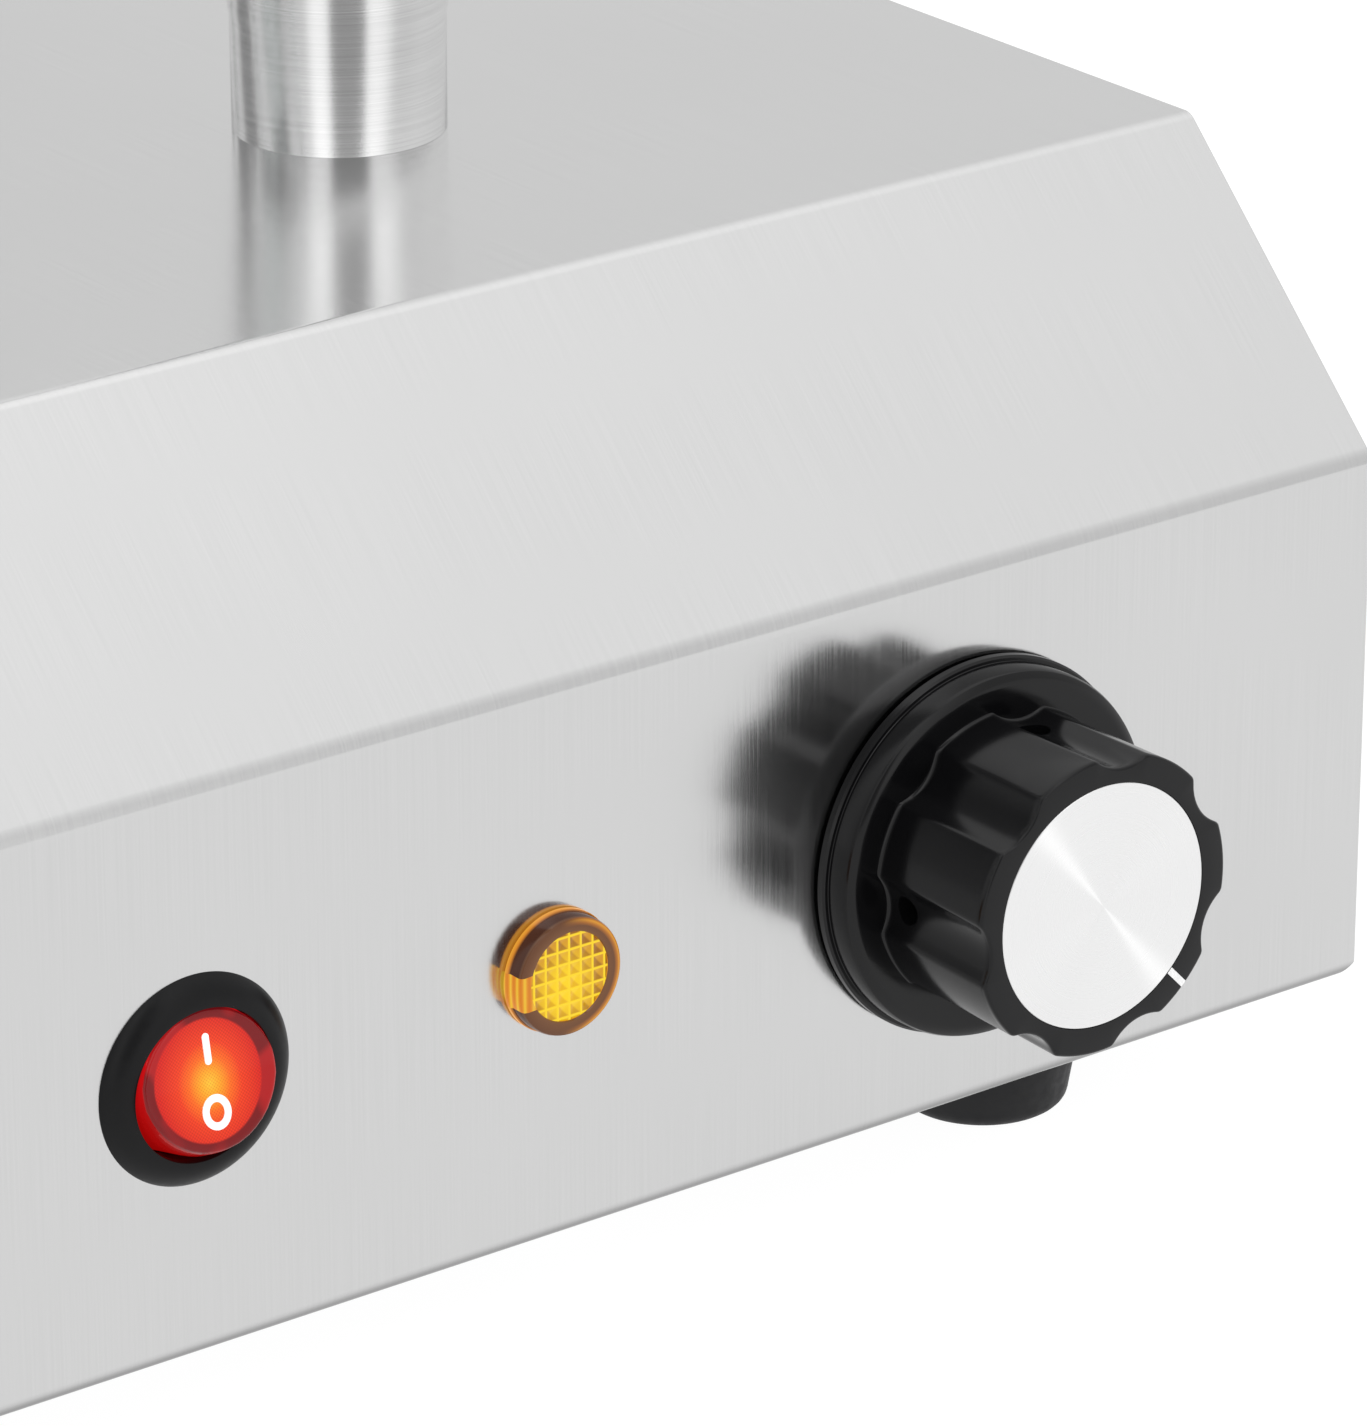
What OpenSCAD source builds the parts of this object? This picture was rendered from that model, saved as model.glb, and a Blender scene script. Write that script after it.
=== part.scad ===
/* [Body] */
// Width of the sheet-steel body
body_w = 490; // [460:5:560]
// Depth of the body, from the front face to the rear face
body_d = 256; // [252:2:300]
// Height of the body, without the feet
body_h = 100.4; // [98:0.2:110]
// Height of the upright front face, below the 45 degree slope
front_h = 66.6; // [62:0.2:70]
// Thickness of the sheet
sheet_t = 1; // [0.8:0.1:1.2]
// Outside radius of the sharper bends
bend_r = 2.4; // [2:0.2:3]
// Outside radius of the bend between the front face and the slope
soft_bend_r = 3.55; // [3:0.2:5]
// Width of the flanges folded in under the body
flange_w = 36; // [34:1:40]

/* [Feet] */
// Height of each rubber foot
foot_h = 11; // [8:0.5:14]
// Diameter of a foot at its top
foot_d = 24; // [22:1:26]
// Distance of a foot's centre from the end of the body
foot_in_x = 42; // [30:0.5:50]
// Distance of a foot's centre from the front or rear face
foot_in_y = 19.6; // [18:0.2:22]

/* [Front controls] */
// Distance of the rocker switch from the right end of the body
switch_in = 167.4; // [160:0.1:175]
// Distance of the pilot lamp from the right end
lamp_in = 119.5; // [112:0.1:125]
// Distance of the thermostat knob from the right end
knob_in = 60.4; // [55:0.1:70]
// Tilt of the rocker either side of its middle
rocker_tilt = 14; // [10:1:14]
// Height of the knob's face above the front panel
knob_h = 23.6; // [22:0.1:26]
// Diameter across the knob's lobes
knob_d = 36; // [33:0.5:37]
// Number of lobes around the knob
lobes = 7; // [6:1:8]
// Diameter of the knob's skirt
skirt_d = 45.5; // [42:0.5:46]

/* [Heated spikes] */
// Diameter of a spike
spike_d = 26; // [24:0.5:28]
// Height of a spike above the top plate
spike_h = 205; // [180:5:230]
// Distance of the first spikes from the right end
spike_in_x = 83.3; // [75:0.1:90]
// Distance of the front spikes behind the front face
spike_in_y = 91; // [85:1:95]
// Distance between neighbouring spikes, both ways
spike_pitch = 108; // [100:1:112]

/* [Steam cylinder] */
// Distance of the cylinder's axis from the right end
steam_in = 345; // [335:1:355]
// Outside diameter of the glass
glass_d = 190; // [180:2:194]
// Height of the glass
glass_h = 240; // [200:5:260]
// Thickness of the glass
glass_t = 3; // [3:0.5:4]
// Depth of the water pan below the top plate
pan_depth = 50; // [40:1:52]

/* [Hidden] */
$fn = 64;

steel = [0.80, 0.80, 0.79];
bright = [0.86, 0.86, 0.87];
black = [0.06, 0.06, 0.06];
zinc = [0.66, 0.67, 0.66];
brass = [0.78, 0.62, 0.30];

gap = 0.3;             // between pieces that move past or rest on each other
gland_out = 20;        // how far the cable gland stands out of the rear face
front_y = -(body_d + gland_out - knob_h) / 2;
rear_y = front_y + body_d;
base_z = foot_h;
top_z = base_z + body_h;
slope = body_h - front_h;
control_z = base_z + front_h / 2;

// The body's outer outline, as [distance behind the front face, height], and the radius of each corner.
outline = [[0, 0], [0, front_h], [slope, body_h], [body_d, body_h], [body_d, 0]];
bends = [bend_r, soft_bend_r, bend_r, bend_r, bend_r];

function from_right(d) = body_w / 2 - d;
function unit(a, b) = (b - a) / norm(b - a);
function half_turn(a, b, c) = acos(unit(a, b) * unit(b, c)) / 2;
function bend_centre(a, b, c, r) = b + unit([0, 0], unit(b, a) + unit(b, c)) * r / cos(half_turn(a, b, c));
function bend_start(a, b, c, r) = b + unit(b, a) * r * tan(half_turn(a, b, c));
function wrap(list, i) = list[(i + len(list)) % len(list)];

// A bar with a convex section, every corner rounded by a true arc.
module rounded_bar(path, radii, w) {
  last = len(path) - 1;
  linear_extrude(w) polygon([for (i = [0 : last], side = [-1, 1])
    bend_start(wrap(path, i + side), path[i], wrap(path, i - side), radii[i])]);
  for (i = [0 : last])
    translate(bend_centre(wrap(path, i - 1), path[i], wrap(path, i + 1), radii[i])) cylinder(h = w, r = radii[i]);
}
// The same outline, moved in by the sheet's thickness.
inner_outline = [for (i = [0 : 4])
  bend_centre(wrap(outline, i - 1), outline[i], wrap(outline, i + 1), sheet_t)];
inner_bends = [for (r = bends) r - sheet_t];
// The sheet folded around that outline, open between its two bottom flanges.
module folded_sheet() difference() {
  rounded_bar(outline, bends, body_w);
  translate([0, 0, -1]) rounded_bar(inner_outline, inner_bends, body_w + 2);
  translate([flange_w, -1, -1]) cube([body_d - 2 * flange_w, 2 * sheet_t + 1, body_w + 2]);
}

// From one end of the body to the other: x towards the rear, y up, z to the right.
module along_body(from) translate([from, front_y, base_z]) rotate([90, 0, 90]) children();
// On the front panel: x to the right, y up, z out towards the user.
module on_front(x) translate([x, front_y, control_z]) rotate([90, 0, 0]) children();
// On the rear face: z out of it, y up.
module on_rear(x, z) translate([x, rear_y, z]) rotate([90, 0, 180]) children();
module at_corners() for (sx = [-1, 1], y = [front_y + foot_in_y, rear_y - foot_in_y])
  translate([sx * (body_w / 2 - foot_in_x), y, 0]) children();
module at_bottom_screws() for (sx = [-1, 1], step = [60, 140], y = [front_y + foot_in_y, rear_y - foot_in_y])
  translate([sx * step, y, 0]) children();
function spike_x(column) = from_right(spike_in_x + column * spike_pitch);
function spike_y(row) = front_y + spike_in_y + row * spike_pitch;
module at_spikes() for (column = [0, 1], row = [0, 1])
  translate([spike_x(column), spike_y(row), top_z]) children();
steam_x = from_right(steam_in);
steam_y = front_y + (slope + body_d) / 2;
module at_steam(z) translate([steam_x, steam_y, z]) children();

module tube(r, inner, h) difference() {
  cylinder(h = h, r = r);
  translate([0, 0, -1]) cylinder(h = h + 2, r = inner);
}
module ring(r, inner, z1, z2) translate([0, 0, z1]) tube(r, inner, z2 - z1);
module hex_nut(flats, h, bore) difference() {
  cylinder(h = h, d = flats / cos(30), $fn = 6);
  translate([0, 0, -1]) cylinder(h = h + 2, d = bore);
}
// A pan-head screw with its head at the bottom and its shank pointing up.
module screw(d, length, head_d, head_h) difference() {
  union() {
    translate([0, 0, -head_h]) cylinder(h = head_h, d = head_d);
    cylinder(h = length, d = d);
  }
  for (a = [0, 90]) rotate(a) translate([-head_d / 4, -0.4, -head_h - 1]) cube([head_d / 2, 0.8, 1 + head_h * 0.6]);
}
module slot(length, width, depth) linear_extrude(depth) {
  square([length - width, width], center = true);
  for (side = [-1, 1]) translate([side * (length - width) / 2, 0]) circle(d = width);
}

// ---- Sheet body ----

vent_length = 26;
vent_width = 3;
vent_pitch = 8;
foot_screw_d = 4;
screw_hole_d = 4.3;
switch_hole_d = 20.2;
lamp_hole_d = 12.6;
spindle_hole_d = 10;
thermostat_screw_pitch = 28;
stub_d = 20;
pan_r = 84;            // inside radius of the pan's well
pan_t = 1;
well_hole_r = pan_r + 4;
gland_d = 16;
gland_x = from_right(70);
gland_z = base_z + 28;
notch = 2;

module housing_shell() color(steel) difference() {
  along_body(-body_w / 2) folded_sheet();
  on_front(from_right(switch_in)) translate([0, 0, -5]) cylinder(h = 10, d = switch_hole_d);
  on_front(from_right(lamp_in)) translate([0, 0, -5]) cylinder(h = 10, d = lamp_hole_d);
  on_front(from_right(knob_in)) translate([0, 0, -5]) {
    cylinder(h = 10, d = spindle_hole_d);
    for (side = [-1, 1]) translate([side * thermostat_screw_pitch / 2, 0, 0]) cylinder(h = 10, d = screw_hole_d);
  }
  at_spikes() translate([0, 0, -5]) cylinder(h = 10, d = stub_d + 0.4);
  at_steam(top_z - 5) cylinder(h = 10, r = well_hole_r);
  on_rear(gland_x, gland_z) translate([0, 0, -5]) cylinder(h = 10, d = gland_d + 0.2);
  for (group = [-110, 40], i = [0 : 7])
    on_rear(group + i * vent_pitch, base_z + body_h * 0.6)
      translate([0, 0, -5]) rotate(90) slot(vent_length, vent_width, 10);
  at_corners() translate([0, 0, base_z - 1]) cylinder(h = 5, d = screw_hole_d);
  at_bottom_screws() translate([0, 0, base_z - 1]) cylinder(h = 5, d = screw_hole_d);
  for (sx = [-1, 1]) translate([sx * body_w / 2, front_y, base_z])
    rotate([0, 45, 0]) cube([notch * sqrt(2), 30, notch * sqrt(2)], center = true);
}

end_flange = 12;

module end_panel(side) color(steel) {
  along_body(side > 0 ? body_w / 2 - sheet_t : -body_w / 2) rounded_bar(inner_outline, inner_bends, sheet_t);
  // Flange that is spot-welded under the top plate.
  translate([side > 0 ? body_w / 2 - sheet_t - end_flange : -body_w / 2 + sheet_t,
    front_y + slope + 4, top_z - 2 * sheet_t]) cube([end_flange, body_d - slope - 8, sheet_t]);
}
module left_end_panel() end_panel(-1);
module right_end_panel() end_panel(1);

upstand = 14;
module bottom_plate() color(zinc) difference() {
  union() {
    translate([-body_w / 2 + sheet_t, front_y + bend_r, base_z + sheet_t])
      cube([body_w - 2 * sheet_t, body_d - 2 * bend_r, sheet_t]);
    for (sx = [-1, 1]) translate([sx * (body_w / 2 - 1.5 * sheet_t) - sheet_t / 2, front_y + bend_r, base_z + sheet_t])
      cube([sheet_t, body_d - 2 * bend_r, upstand]);
  }
  at_corners() translate([0, 0, base_z]) cylinder(h = 5, d = screw_hole_d);
  at_bottom_screws() translate([0, 0, base_z]) cylinder(h = 5, d = screw_hole_d);
  for (y = [-40, 40], i = [-9 : 9]) translate([i * 16, front_y + body_d / 2 + y, base_z])
    rotate(90) slot(vent_length + 10, vent_width + 1, 5);
}
module bottom_screws() color(zinc) at_bottom_screws() translate([0, 0, base_z]) screw(4, 8, 8, 2.2);

// ---- Feet ----

foot_tip_d = foot_d - 3;
foot_edge_r = 2;
head_seat_z = 4;

module foot_profile() difference() {
  union() {
    polygon([[0, 0], [foot_tip_d / 2 - foot_edge_r, 0], [foot_tip_d / 2, foot_edge_r], [foot_d / 2, foot_h], [0, foot_h]]);
    translate([foot_tip_d / 2 - foot_edge_r, foot_edge_r]) circle(foot_edge_r);
  }
  translate([-50, -1]) square([50, foot_h + 2]);
}
module foot(sx, y) color(black) translate([sx * (body_w / 2 - foot_in_x), y, 0]) difference() {
  rotate_extrude() foot_profile();
  translate([0, 0, -1]) cylinder(h = head_seat_z + 1, d = 9);
  cylinder(h = foot_h + 1, d = foot_screw_d + 0.2);
}
module foot_front_left() foot(-1, front_y + foot_in_y);
module foot_front_right() foot(1, front_y + foot_in_y);
module foot_rear_left() foot(-1, rear_y - foot_in_y);
module foot_rear_right() foot(1, rear_y - foot_in_y);
module foot_screws() color(zinc) at_corners() translate([0, 0, head_seat_z]) screw(foot_screw_d, 13, 8, 2.2);
module foot_nuts() color(zinc) at_corners() translate([0, 0, base_z + 2 * sheet_t]) hex_nut(7, 3.2, foot_screw_d);

// ---- Heated spikes ----

spike_neck = 15;       // the last stretch above the plate, turned down slightly
spike_neck_d = spike_d - 0.4;
nose_h = 42;
nose_tip_r = 5;
stub_l = 16;
cartridge_r = 6.25;
cartridge_l = 150;
washer_t = 2;
spike_nut_h = 8;

module spike(column, row) color(bright) translate([spike_x(column), spike_y(row), top_z]) difference() {
  union() {
    translate([0, 0, -stub_l]) cylinder(h = stub_l, d = stub_d);
    cylinder(h = spike_neck, d1 = spike_neck_d, d2 = spike_d);
    translate([0, 0, spike_neck]) cylinder(h = spike_h - nose_h - spike_neck, d = spike_d);
    translate([0, 0, spike_h - nose_h]) rotate_extrude() polygon(concat([[0, 0]],
      [for (i = [0 : 12]) let (h = nose_h * sin(i * 7.5)) [nose_tip_r * (1 - i / 12)
        + (spike_d / 2 - nose_tip_r) * cos(i * 7.5), h]]));
  }
  translate([0, 0, -stub_l - 1]) cylinder(h = cartridge_l + 2, r = cartridge_r + 0.05);
}
module spike_front_right() spike(0, 0);
module spike_rear_right() spike(0, 1);
module spike_front_left() spike(1, 0);
module spike_rear_left() spike(1, 1);
module spike_washers() color(zinc) at_spikes() ring(16, stub_d / 2 + 0.3, -sheet_t - washer_t, -sheet_t);
module spike_nuts() color(zinc) at_spikes()
  translate([0, 0, -sheet_t - washer_t - spike_nut_h]) hex_nut(27, spike_nut_h, stub_d);
module cartridge(column, row) color(zinc) translate([spike_x(column), spike_y(row), top_z]) {
  translate([0, 0, -stub_l]) cylinder(h = cartridge_l - 2, r = cartridge_r);
  // Ceramic end with its two leads.
  translate([0, 0, -stub_l - 5]) cylinder(h = 5, r = cartridge_r - 1);
  for (side = [-1, 1]) translate([side * 2.4, 0, -stub_l - 13]) cylinder(h = 8, r = 1);
}
module heater_front_right() cartridge(0, 0);
module heater_rear_right() cartridge(0, 1);
module heater_front_left() cartridge(1, 0);
module heater_rear_left() cartridge(1, 1);

// ---- Rocker switch ----

bezel_front = 2;
bezel_mouth_r = 8.8;
pivot_back = 1;        // the pivot's depth behind the panel's face
rocker_swing_r = 9.0; // how far the rocker reaches from its pivot
rocker_r = 8.45;
rocker_dip = 0.4;      // how far the middle of the rocker's face lies below its ends
rocker_face = 4.7;     // the ends of its face, in front of the pivot
switch_cavity_r = 9.25;
switch_depth = 15;

module switch_body() color(black) on_front(from_right(switch_in)) difference() {
  union() {
    // Domed bezel: a ring section cut from a circle.
    rotate_extrude() intersection() {
      translate([9.05, -1.5]) circle(3.5);
      translate([bezel_mouth_r, 0]) square([5, bezel_front]);
    }
    translate([0, 0, -switch_depth]) cylinder(h = switch_depth, d = 20);
    for (side = [-1, 1]) translate([side * 9.9 - 0.9, -2.5, -8]) cube([1.8, 5, 8 - sheet_t]);
  }
  translate([0, 0, -2]) cylinder(h = 6, r = bezel_mouth_r);
  translate([0, 0, -switch_depth + 4]) cylinder(h = switch_depth - 4 + 0.9, r = switch_cavity_r);
  translate([-12, 0, -pivot_back]) rotate([0, 90, 0]) cylinder(h = 24, r = 1.05);
  for (x = [-5, 0, 5]) translate([x - 0.4, -3.15, -switch_depth - 1]) cube([0.8, 6.3, 6]);
}
module switch_terminals() color(brass) on_front(from_right(switch_in))
  for (x = [-5, 0, 5]) translate([x - 0.4, -3.15, -switch_depth - 8]) difference() {
    cube([0.8, 6.3, 11.5]);
    translate([-1, 3.15, 3]) rotate([0, 90, 0]) cylinder(h = 3, r = 0.8);
  }

// Children are drawn in the rocker's own frame, with its pivot at the origin.
module rocker_at_rest() on_front(from_right(switch_in)) translate([0, 0, -pivot_back])
  rotate([-rocker_tilt, 0, 0]) children();
rocker_end = sqrt(rocker_swing_r * rocker_swing_r - rocker_face * rocker_face);

module rocker() color([0.85, 0.07, 0.04]) rocker_at_rest() {
  intersection() {
    translate([0, 0, -4]) cylinder(h = 12, r = rocker_r);
    // Room to swing inside the round mouth, both ways.
    rotate([rocker_tilt, 0, 0]) cylinder(h = 30, r = bezel_mouth_r - 0.12, center = true);
    rotate([-rocker_tilt, 0, 0]) cylinder(h = 30, r = bezel_mouth_r - 0.12, center = true);
    rotate([0, 90, 0]) cylinder(h = 30, r = rocker_swing_r, center = true);
    rotate([90, 0, 90]) linear_extrude(20, center = true)
      polygon([[-9, -4], [9, -4], [9, rocker_face], [rocker_end, rocker_face], [0, rocker_face - rocker_dip],
        [-rocker_end, rocker_face], [-9, rocker_face]]);
  }
  rotate([0, 90, 0]) cylinder(h = 19.2, r = 1, center = true);
}
mark_t = 0.12;
mark_line = 0.85;
module on_rocker_face(side) translate([0, 0, rocker_face - rocker_dip])
  rotate([side * atan(rocker_dip / rocker_end), 0, 0]) translate([0, side * 3.6, 0]) children();
module rocker_marks() color("white") rocker_at_rest() {
  on_rocker_face(1) linear_extrude(mark_t) square([mark_line, 3.5], center = true);
  on_rocker_face(-1) linear_extrude(mark_t) difference() {
    circle(1.95);
    circle(1.95 - mark_line);
  }
}

// ---- Pilot lamp ----

lens_r = 7.2;
lens_h = 3;
module pilot_lens() color([0.95, 0.60, 0.08]) on_front(from_right(lamp_in)) difference() {
  union() {
    cylinder(h = lens_h - 0.6, r = lens_r);
    translate([0, 0, lens_h - 0.6]) cylinder(h = 0.6, r1 = lens_r, r2 = lens_r - 0.4);
    translate([0, 0, -12]) cylinder(h = 12, d = lamp_hole_d - 0.2);
  }
  translate([0, 0, -13]) cylinder(h = 13 + lens_h - 1.2, r = 5.3);
}
module pilot_body() color([0.85, 0.83, 0.78]) on_front(from_right(lamp_in)) {
  translate([0, 0, -20]) cylinder(h = 20, r = 5.1);
  for (side = [-1, 1]) translate([side * 2.5 - 0.4, -2.4, -28]) cube([0.8, 4.8, 8]);
}
module pilot_clip() color(zinc) on_front(from_right(lamp_in)) difference() {
  ring(9.5, lamp_hole_d / 2 - 0.1, -sheet_t - 0.6, -sheet_t);
  for (a = [0 : 60 : 300]) rotate(a) translate([6, -0.5, -3]) cube([2, 1, 3]);
}

// ---- Thermostat and its knob ----

skirt_h = 5.4;
skirt_ring_h = 1.3;
disc_d = 29.3;
disc_t = 0.5;
flute_r = 6.3;
flute_depth = 1.6;
pointer_angle = -46.3; // where the pointer's lobe stands, anticlockwise from the right
spindle_r = 3;
knob_hollow_r = 19;
grub_z = skirt_h + 3.2;

module lobed() difference() {
  circle(d = knob_d);
  for (i = [0 : lobes - 1]) rotate(pointer_angle + (i + 0.5) * 360 / lobes)
    translate([knob_d / 2 - flute_depth + flute_r, 0]) circle(flute_r);
}
module at_grub_screws() for (i = [2, 4]) rotate(pointer_angle + (i + 0.5) * 360 / lobes)
  translate([0, 0, grub_z]) rotate([0, 90, 0]) children();

module knob() color(black) on_front(from_right(knob_in)) difference() {
  union() {
    translate([0, 0, gap + 0.1]) cylinder(h = skirt_ring_h, d = skirt_d);
    translate([0, 0, gap + 0.1]) cylinder(h = skirt_h - gap - 0.7, d = skirt_d - 1.2);
    translate([0, 0, skirt_h - 0.6]) cylinder(h = 0.6, d1 = skirt_d - 1.2, d2 = skirt_d - 2.4);
    linear_extrude(knob_h) lobed();
  }
  translate([0, 0, -1]) cylinder(h = 1 + 3.6, r = knob_hollow_r);
  translate([0, 0, 3]) cylinder(h = 14, r = spindle_r);
  translate([0, 0, knob_h - disc_t]) cylinder(h = 1, d = disc_d);
  rotate(pointer_angle) translate([disc_d / 2, -mark_line / 2, knob_h - disc_t]) cube([5, mark_line, 1]);
  at_grub_screws() cylinder(h = 20, r = 1.75);
}
module knob_disc() color(bright) on_front(from_right(knob_in))
  translate([0, 0, knob_h - disc_t]) cylinder(h = disc_t, d = disc_d);
module knob_pointer() color("white") on_front(from_right(knob_in)) rotate(pointer_angle)
  translate([disc_d / 2 + 0.02, -mark_line / 2, knob_h - disc_t])
    cube([(knob_d - disc_d) / 2 - 0.15, mark_line, disc_t]);
module knob_grub_screws() color(zinc) on_front(from_right(knob_in)) at_grub_screws() difference() {
  translate([0, 0, spindle_r]) cylinder(h = 7, r = 1.75);
  translate([0, 0, spindle_r + 5]) cylinder(h = 3, r = 0.9, $fn = 6);
}
module thermostat_spindle() color(zinc) on_front(from_right(knob_in))
  translate([0, 0, -18]) cylinder(h = 35, r = spindle_r);

bracket_t = 1.5;
module thermostat_bracket() color(zinc) on_front(from_right(knob_in)) difference() {
  translate([-22, -17, -sheet_t - bracket_t]) cube([44, 34, bracket_t]);
  translate([0, 0, -5]) cylinder(h = 10, d = spindle_hole_d);
  for (side = [-1, 1]) translate([side * thermostat_screw_pitch / 2, 0, -5]) cylinder(h = 10, d = 4);
}
module thermostat_screws() color(zinc) on_front(from_right(knob_in))
  for (side = [-1, 1]) translate([side * thermostat_screw_pitch / 2, 0, 0]) rotate([180, 0, 0]) screw(4, 6, 7, 2);
module thermostat_body() color([0.15, 0.15, 0.16]) on_front(from_right(knob_in)) {
  difference() {
    translate([-19, -16, -28]) cube([38, 32, 28 - sheet_t - bracket_t]);
    translate([0, 0, -20]) cylinder(h = 20, r = spindle_r + 0.05);
    for (side = [-1, 1]) translate([side * thermostat_screw_pitch / 2, 0, -10]) cylinder(h = 10, d = 4.4);
  }
  for (x = [-12, 0]) translate([x - 0.4, 4, -36]) cube([0.8, 6.3, 8]);
}

// ---- Heating under the water pan ----

pan_bottom_z = top_z - pan_depth;
heater_top = pan_bottom_z;
plate_t = 4;
element_r = 4;
element_ring_r = 50;
element_z = heater_top - plate_t - element_r;
bracket_reach = 98;
strap_z = element_z - element_r - 1.5;
bulb_y = 24;

module heater_plate() color([0.75, 0.75, 0.76]) at_steam(heater_top - plate_t) cylinder(h = plate_t, r = 70);
module pan_heater() color([0.35, 0.36, 0.35]) at_steam(element_z) {
  rotate([0, 0, 10]) rotate_extrude(angle = 340) translate([element_ring_r, 0]) circle(element_r);
  for (side = [-1, 1]) rotate(side * 15) translate([element_ring_r, 0, 0])
    rotate([0, 90, 0]) cylinder(h = 32, r = element_r - 1);
}
module heater_bracket() color(zinc) at_steam(0) {
  translate([-12, -bracket_reach, strap_z]) cube([24, 2 * bracket_reach, 1.5]);
  for (side = [-1, 1]) {
    translate([-12, side * bracket_reach - 0.75, strap_z]) cube([24, 1.5, top_z - sheet_t - strap_z]);
    translate([-12, side * (bracket_reach + 4) - 4, top_z - sheet_t - 1.5]) cube([24, 8, 1.5]);
  }
}
module thermal_cutout() color([0.9, 0.88, 0.82]) at_steam(element_z - element_r) {
  cylinder(h = 2 * element_r, r = 8);
  for (side = [-1, 1]) translate([side * 10 - 4, -3.15, 3]) cube([8, 6.3, 0.8]);
}

// ---- Swept tubes for the wires and the capillary ----

function spline(p, t) = let (n = len(p) - 1, i = min(floor(t), n - 1), f = t - i,
  a = p[max(i - 1, 0)], b = p[i], c = p[i + 1], d = p[min(i + 2, n)])
  0.5 * (2 * b + (c - a) * f + (2 * a - 5 * b + 4 * c - d) * f * f + (3 * b - a - 3 * c + d) * f * f * f);
function path_points(p, steps) = [for (i = [0 : (len(p) - 1) * steps]) spline(p, i / steps)];
sides = 8;

module swept(points, d, steps = 4) {
  p = path_points(points, steps);
  last = len(p) - 1;
  aside = [0.53, -0.61, 0.59];
  rings = [for (i = [0 : last]) let (t = unit(p[max(i - 1, 0)], p[min(i + 1, last)]),
    u = unit([0, 0, 0], cross(t, aside)), v = cross(t, u))
    for (s = [0 : sides - 1]) p[i] + d / 2 * (cos(s * 360 / sides) * u + sin(s * 360 / sides) * v)];
  faces = concat([[for (s = [0 : sides - 1]) s]],
    [for (i = [0 : last - 1], s = [0 : sides - 1], half = [0, 1])
      let (a = i * sides + s, b = i * sides + (s + 1) % sides)
      half == 0 ? [a, a + sides, b] : [b, a + sides, b + sides]],
    [[for (s = [sides - 1 : -1 : 0]) last * sides + s]]);
  polyhedron(rings, faces);
}

thermostat_x = from_right(knob_in);
module capillary_bulb() color([0.72, 0.45, 0.25]) {
  at_steam(heater_top - plate_t - 3) translate([-36, bulb_y, 0]) rotate([0, 90, 0]) cylinder(h = 70, r = 3);
  swept([[thermostat_x, front_y + 28, 36], [thermostat_x - 4, front_y + 40, 34], [thermostat_x - 40, front_y + 56, 24],
    [thermostat_x - 110, front_y + 62, 20], [thermostat_x - 170, front_y + 90, 22], [steam_x + 72, steam_y + 42, 30],
    [steam_x + 58, steam_y + bulb_y + 9, element_z - element_r - 6],
    [steam_x + 46, steam_y + bulb_y + 3, element_z - element_r - 4],
    [steam_x + 37.5, steam_y + bulb_y, element_z - 3], [steam_x + 33, steam_y + bulb_y, heater_top - plate_t - 3]], 2);
}
module bulb_clips() color(zinc) at_steam(heater_top - plate_t) for (x = [-22, 22])
  translate([x - 3, bulb_y, -3]) rotate([90, 0, 90]) linear_extrude(6) difference() {
    union() {
      circle(3.8);
      translate([-3.8, 0]) square([7.6, 3]);
    }
    circle(3);
    translate([-3, 0]) square([6, 4]);
  }

// ---- Mains entry ----

gland_bore_r = 4;
gland_hex = 19;
module gland_body() color(black) on_rear(gland_x, gland_z) difference() {
  union() {
    cylinder(h = 5, d = gland_hex / cos(30), $fn = 6);
    translate([0, 0, 5]) cylinder(h = gland_out - 5, r = 6);
    translate([0, 0, -9]) cylinder(h = 9, d = gland_d);
  }
  translate([0, 0, -10]) cylinder(h = gland_out + 11, r = gland_bore_r);
}
module gland_cap() color(black) on_rear(gland_x, gland_z) difference() {
  union() {
    translate([0, 0, 5.4]) cylinder(h = 8, d = gland_hex / cos(30), $fn = 6);
    translate([0, 0, 13.4]) cylinder(h = gland_out - 13.4, d1 = gland_hex - 0.6, d2 = 14);
  }
  cylinder(h = gland_out + 1, r = 6);
}
module gland_locknut() color(black) on_rear(gland_x, gland_z)
  translate([0, 0, -sheet_t - 5]) hex_nut(22, 5, gland_d);

block_x = gland_x - 34;
block_y = rear_y - 52;
module terminal_block() color([0.92, 0.91, 0.88]) difference() {
  translate([block_x - 20, block_y - 10, base_z + 2 * sheet_t]) cube([40, 20, 16]);
  for (i = [-1 : 1]) translate([block_x + i * 12, block_y, base_z + 12]) {
    for (side = [-1, 1]) translate([0, side * 5, 0]) cylinder(h = 10, r = 2.6);
    rotate([90, 0, 0]) cylinder(h = 24, r = 1.7, center = true);
  }
}
module terminal_screws() color(brass) for (i = [-1 : 1], side = [-1, 1])
  translate([block_x + i * 12, block_y + side * 5, base_z + 12]) difference() {
    cylinder(h = 4.5, r = 2.4);
    translate([-3, -0.4, 3.5]) cube([6, 0.8, 2]);
  }
earth_x = gland_x + 22;
module earth_stud() color(brass) translate([earth_x, block_y, base_z + 2 * sheet_t]) {
  cylinder(h = 16, r = 2.5);
  hex_nut(8, 3.5, 5);
  translate([0, 0, 6]) hex_nut(8, 3.5, 5);
  difference() {
    translate([-5, -5, 3.5]) cube([10, 18, 0.8]);
    translate([0, 0, 3]) cylinder(h = 2, r = 2.5);
  }
}

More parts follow.
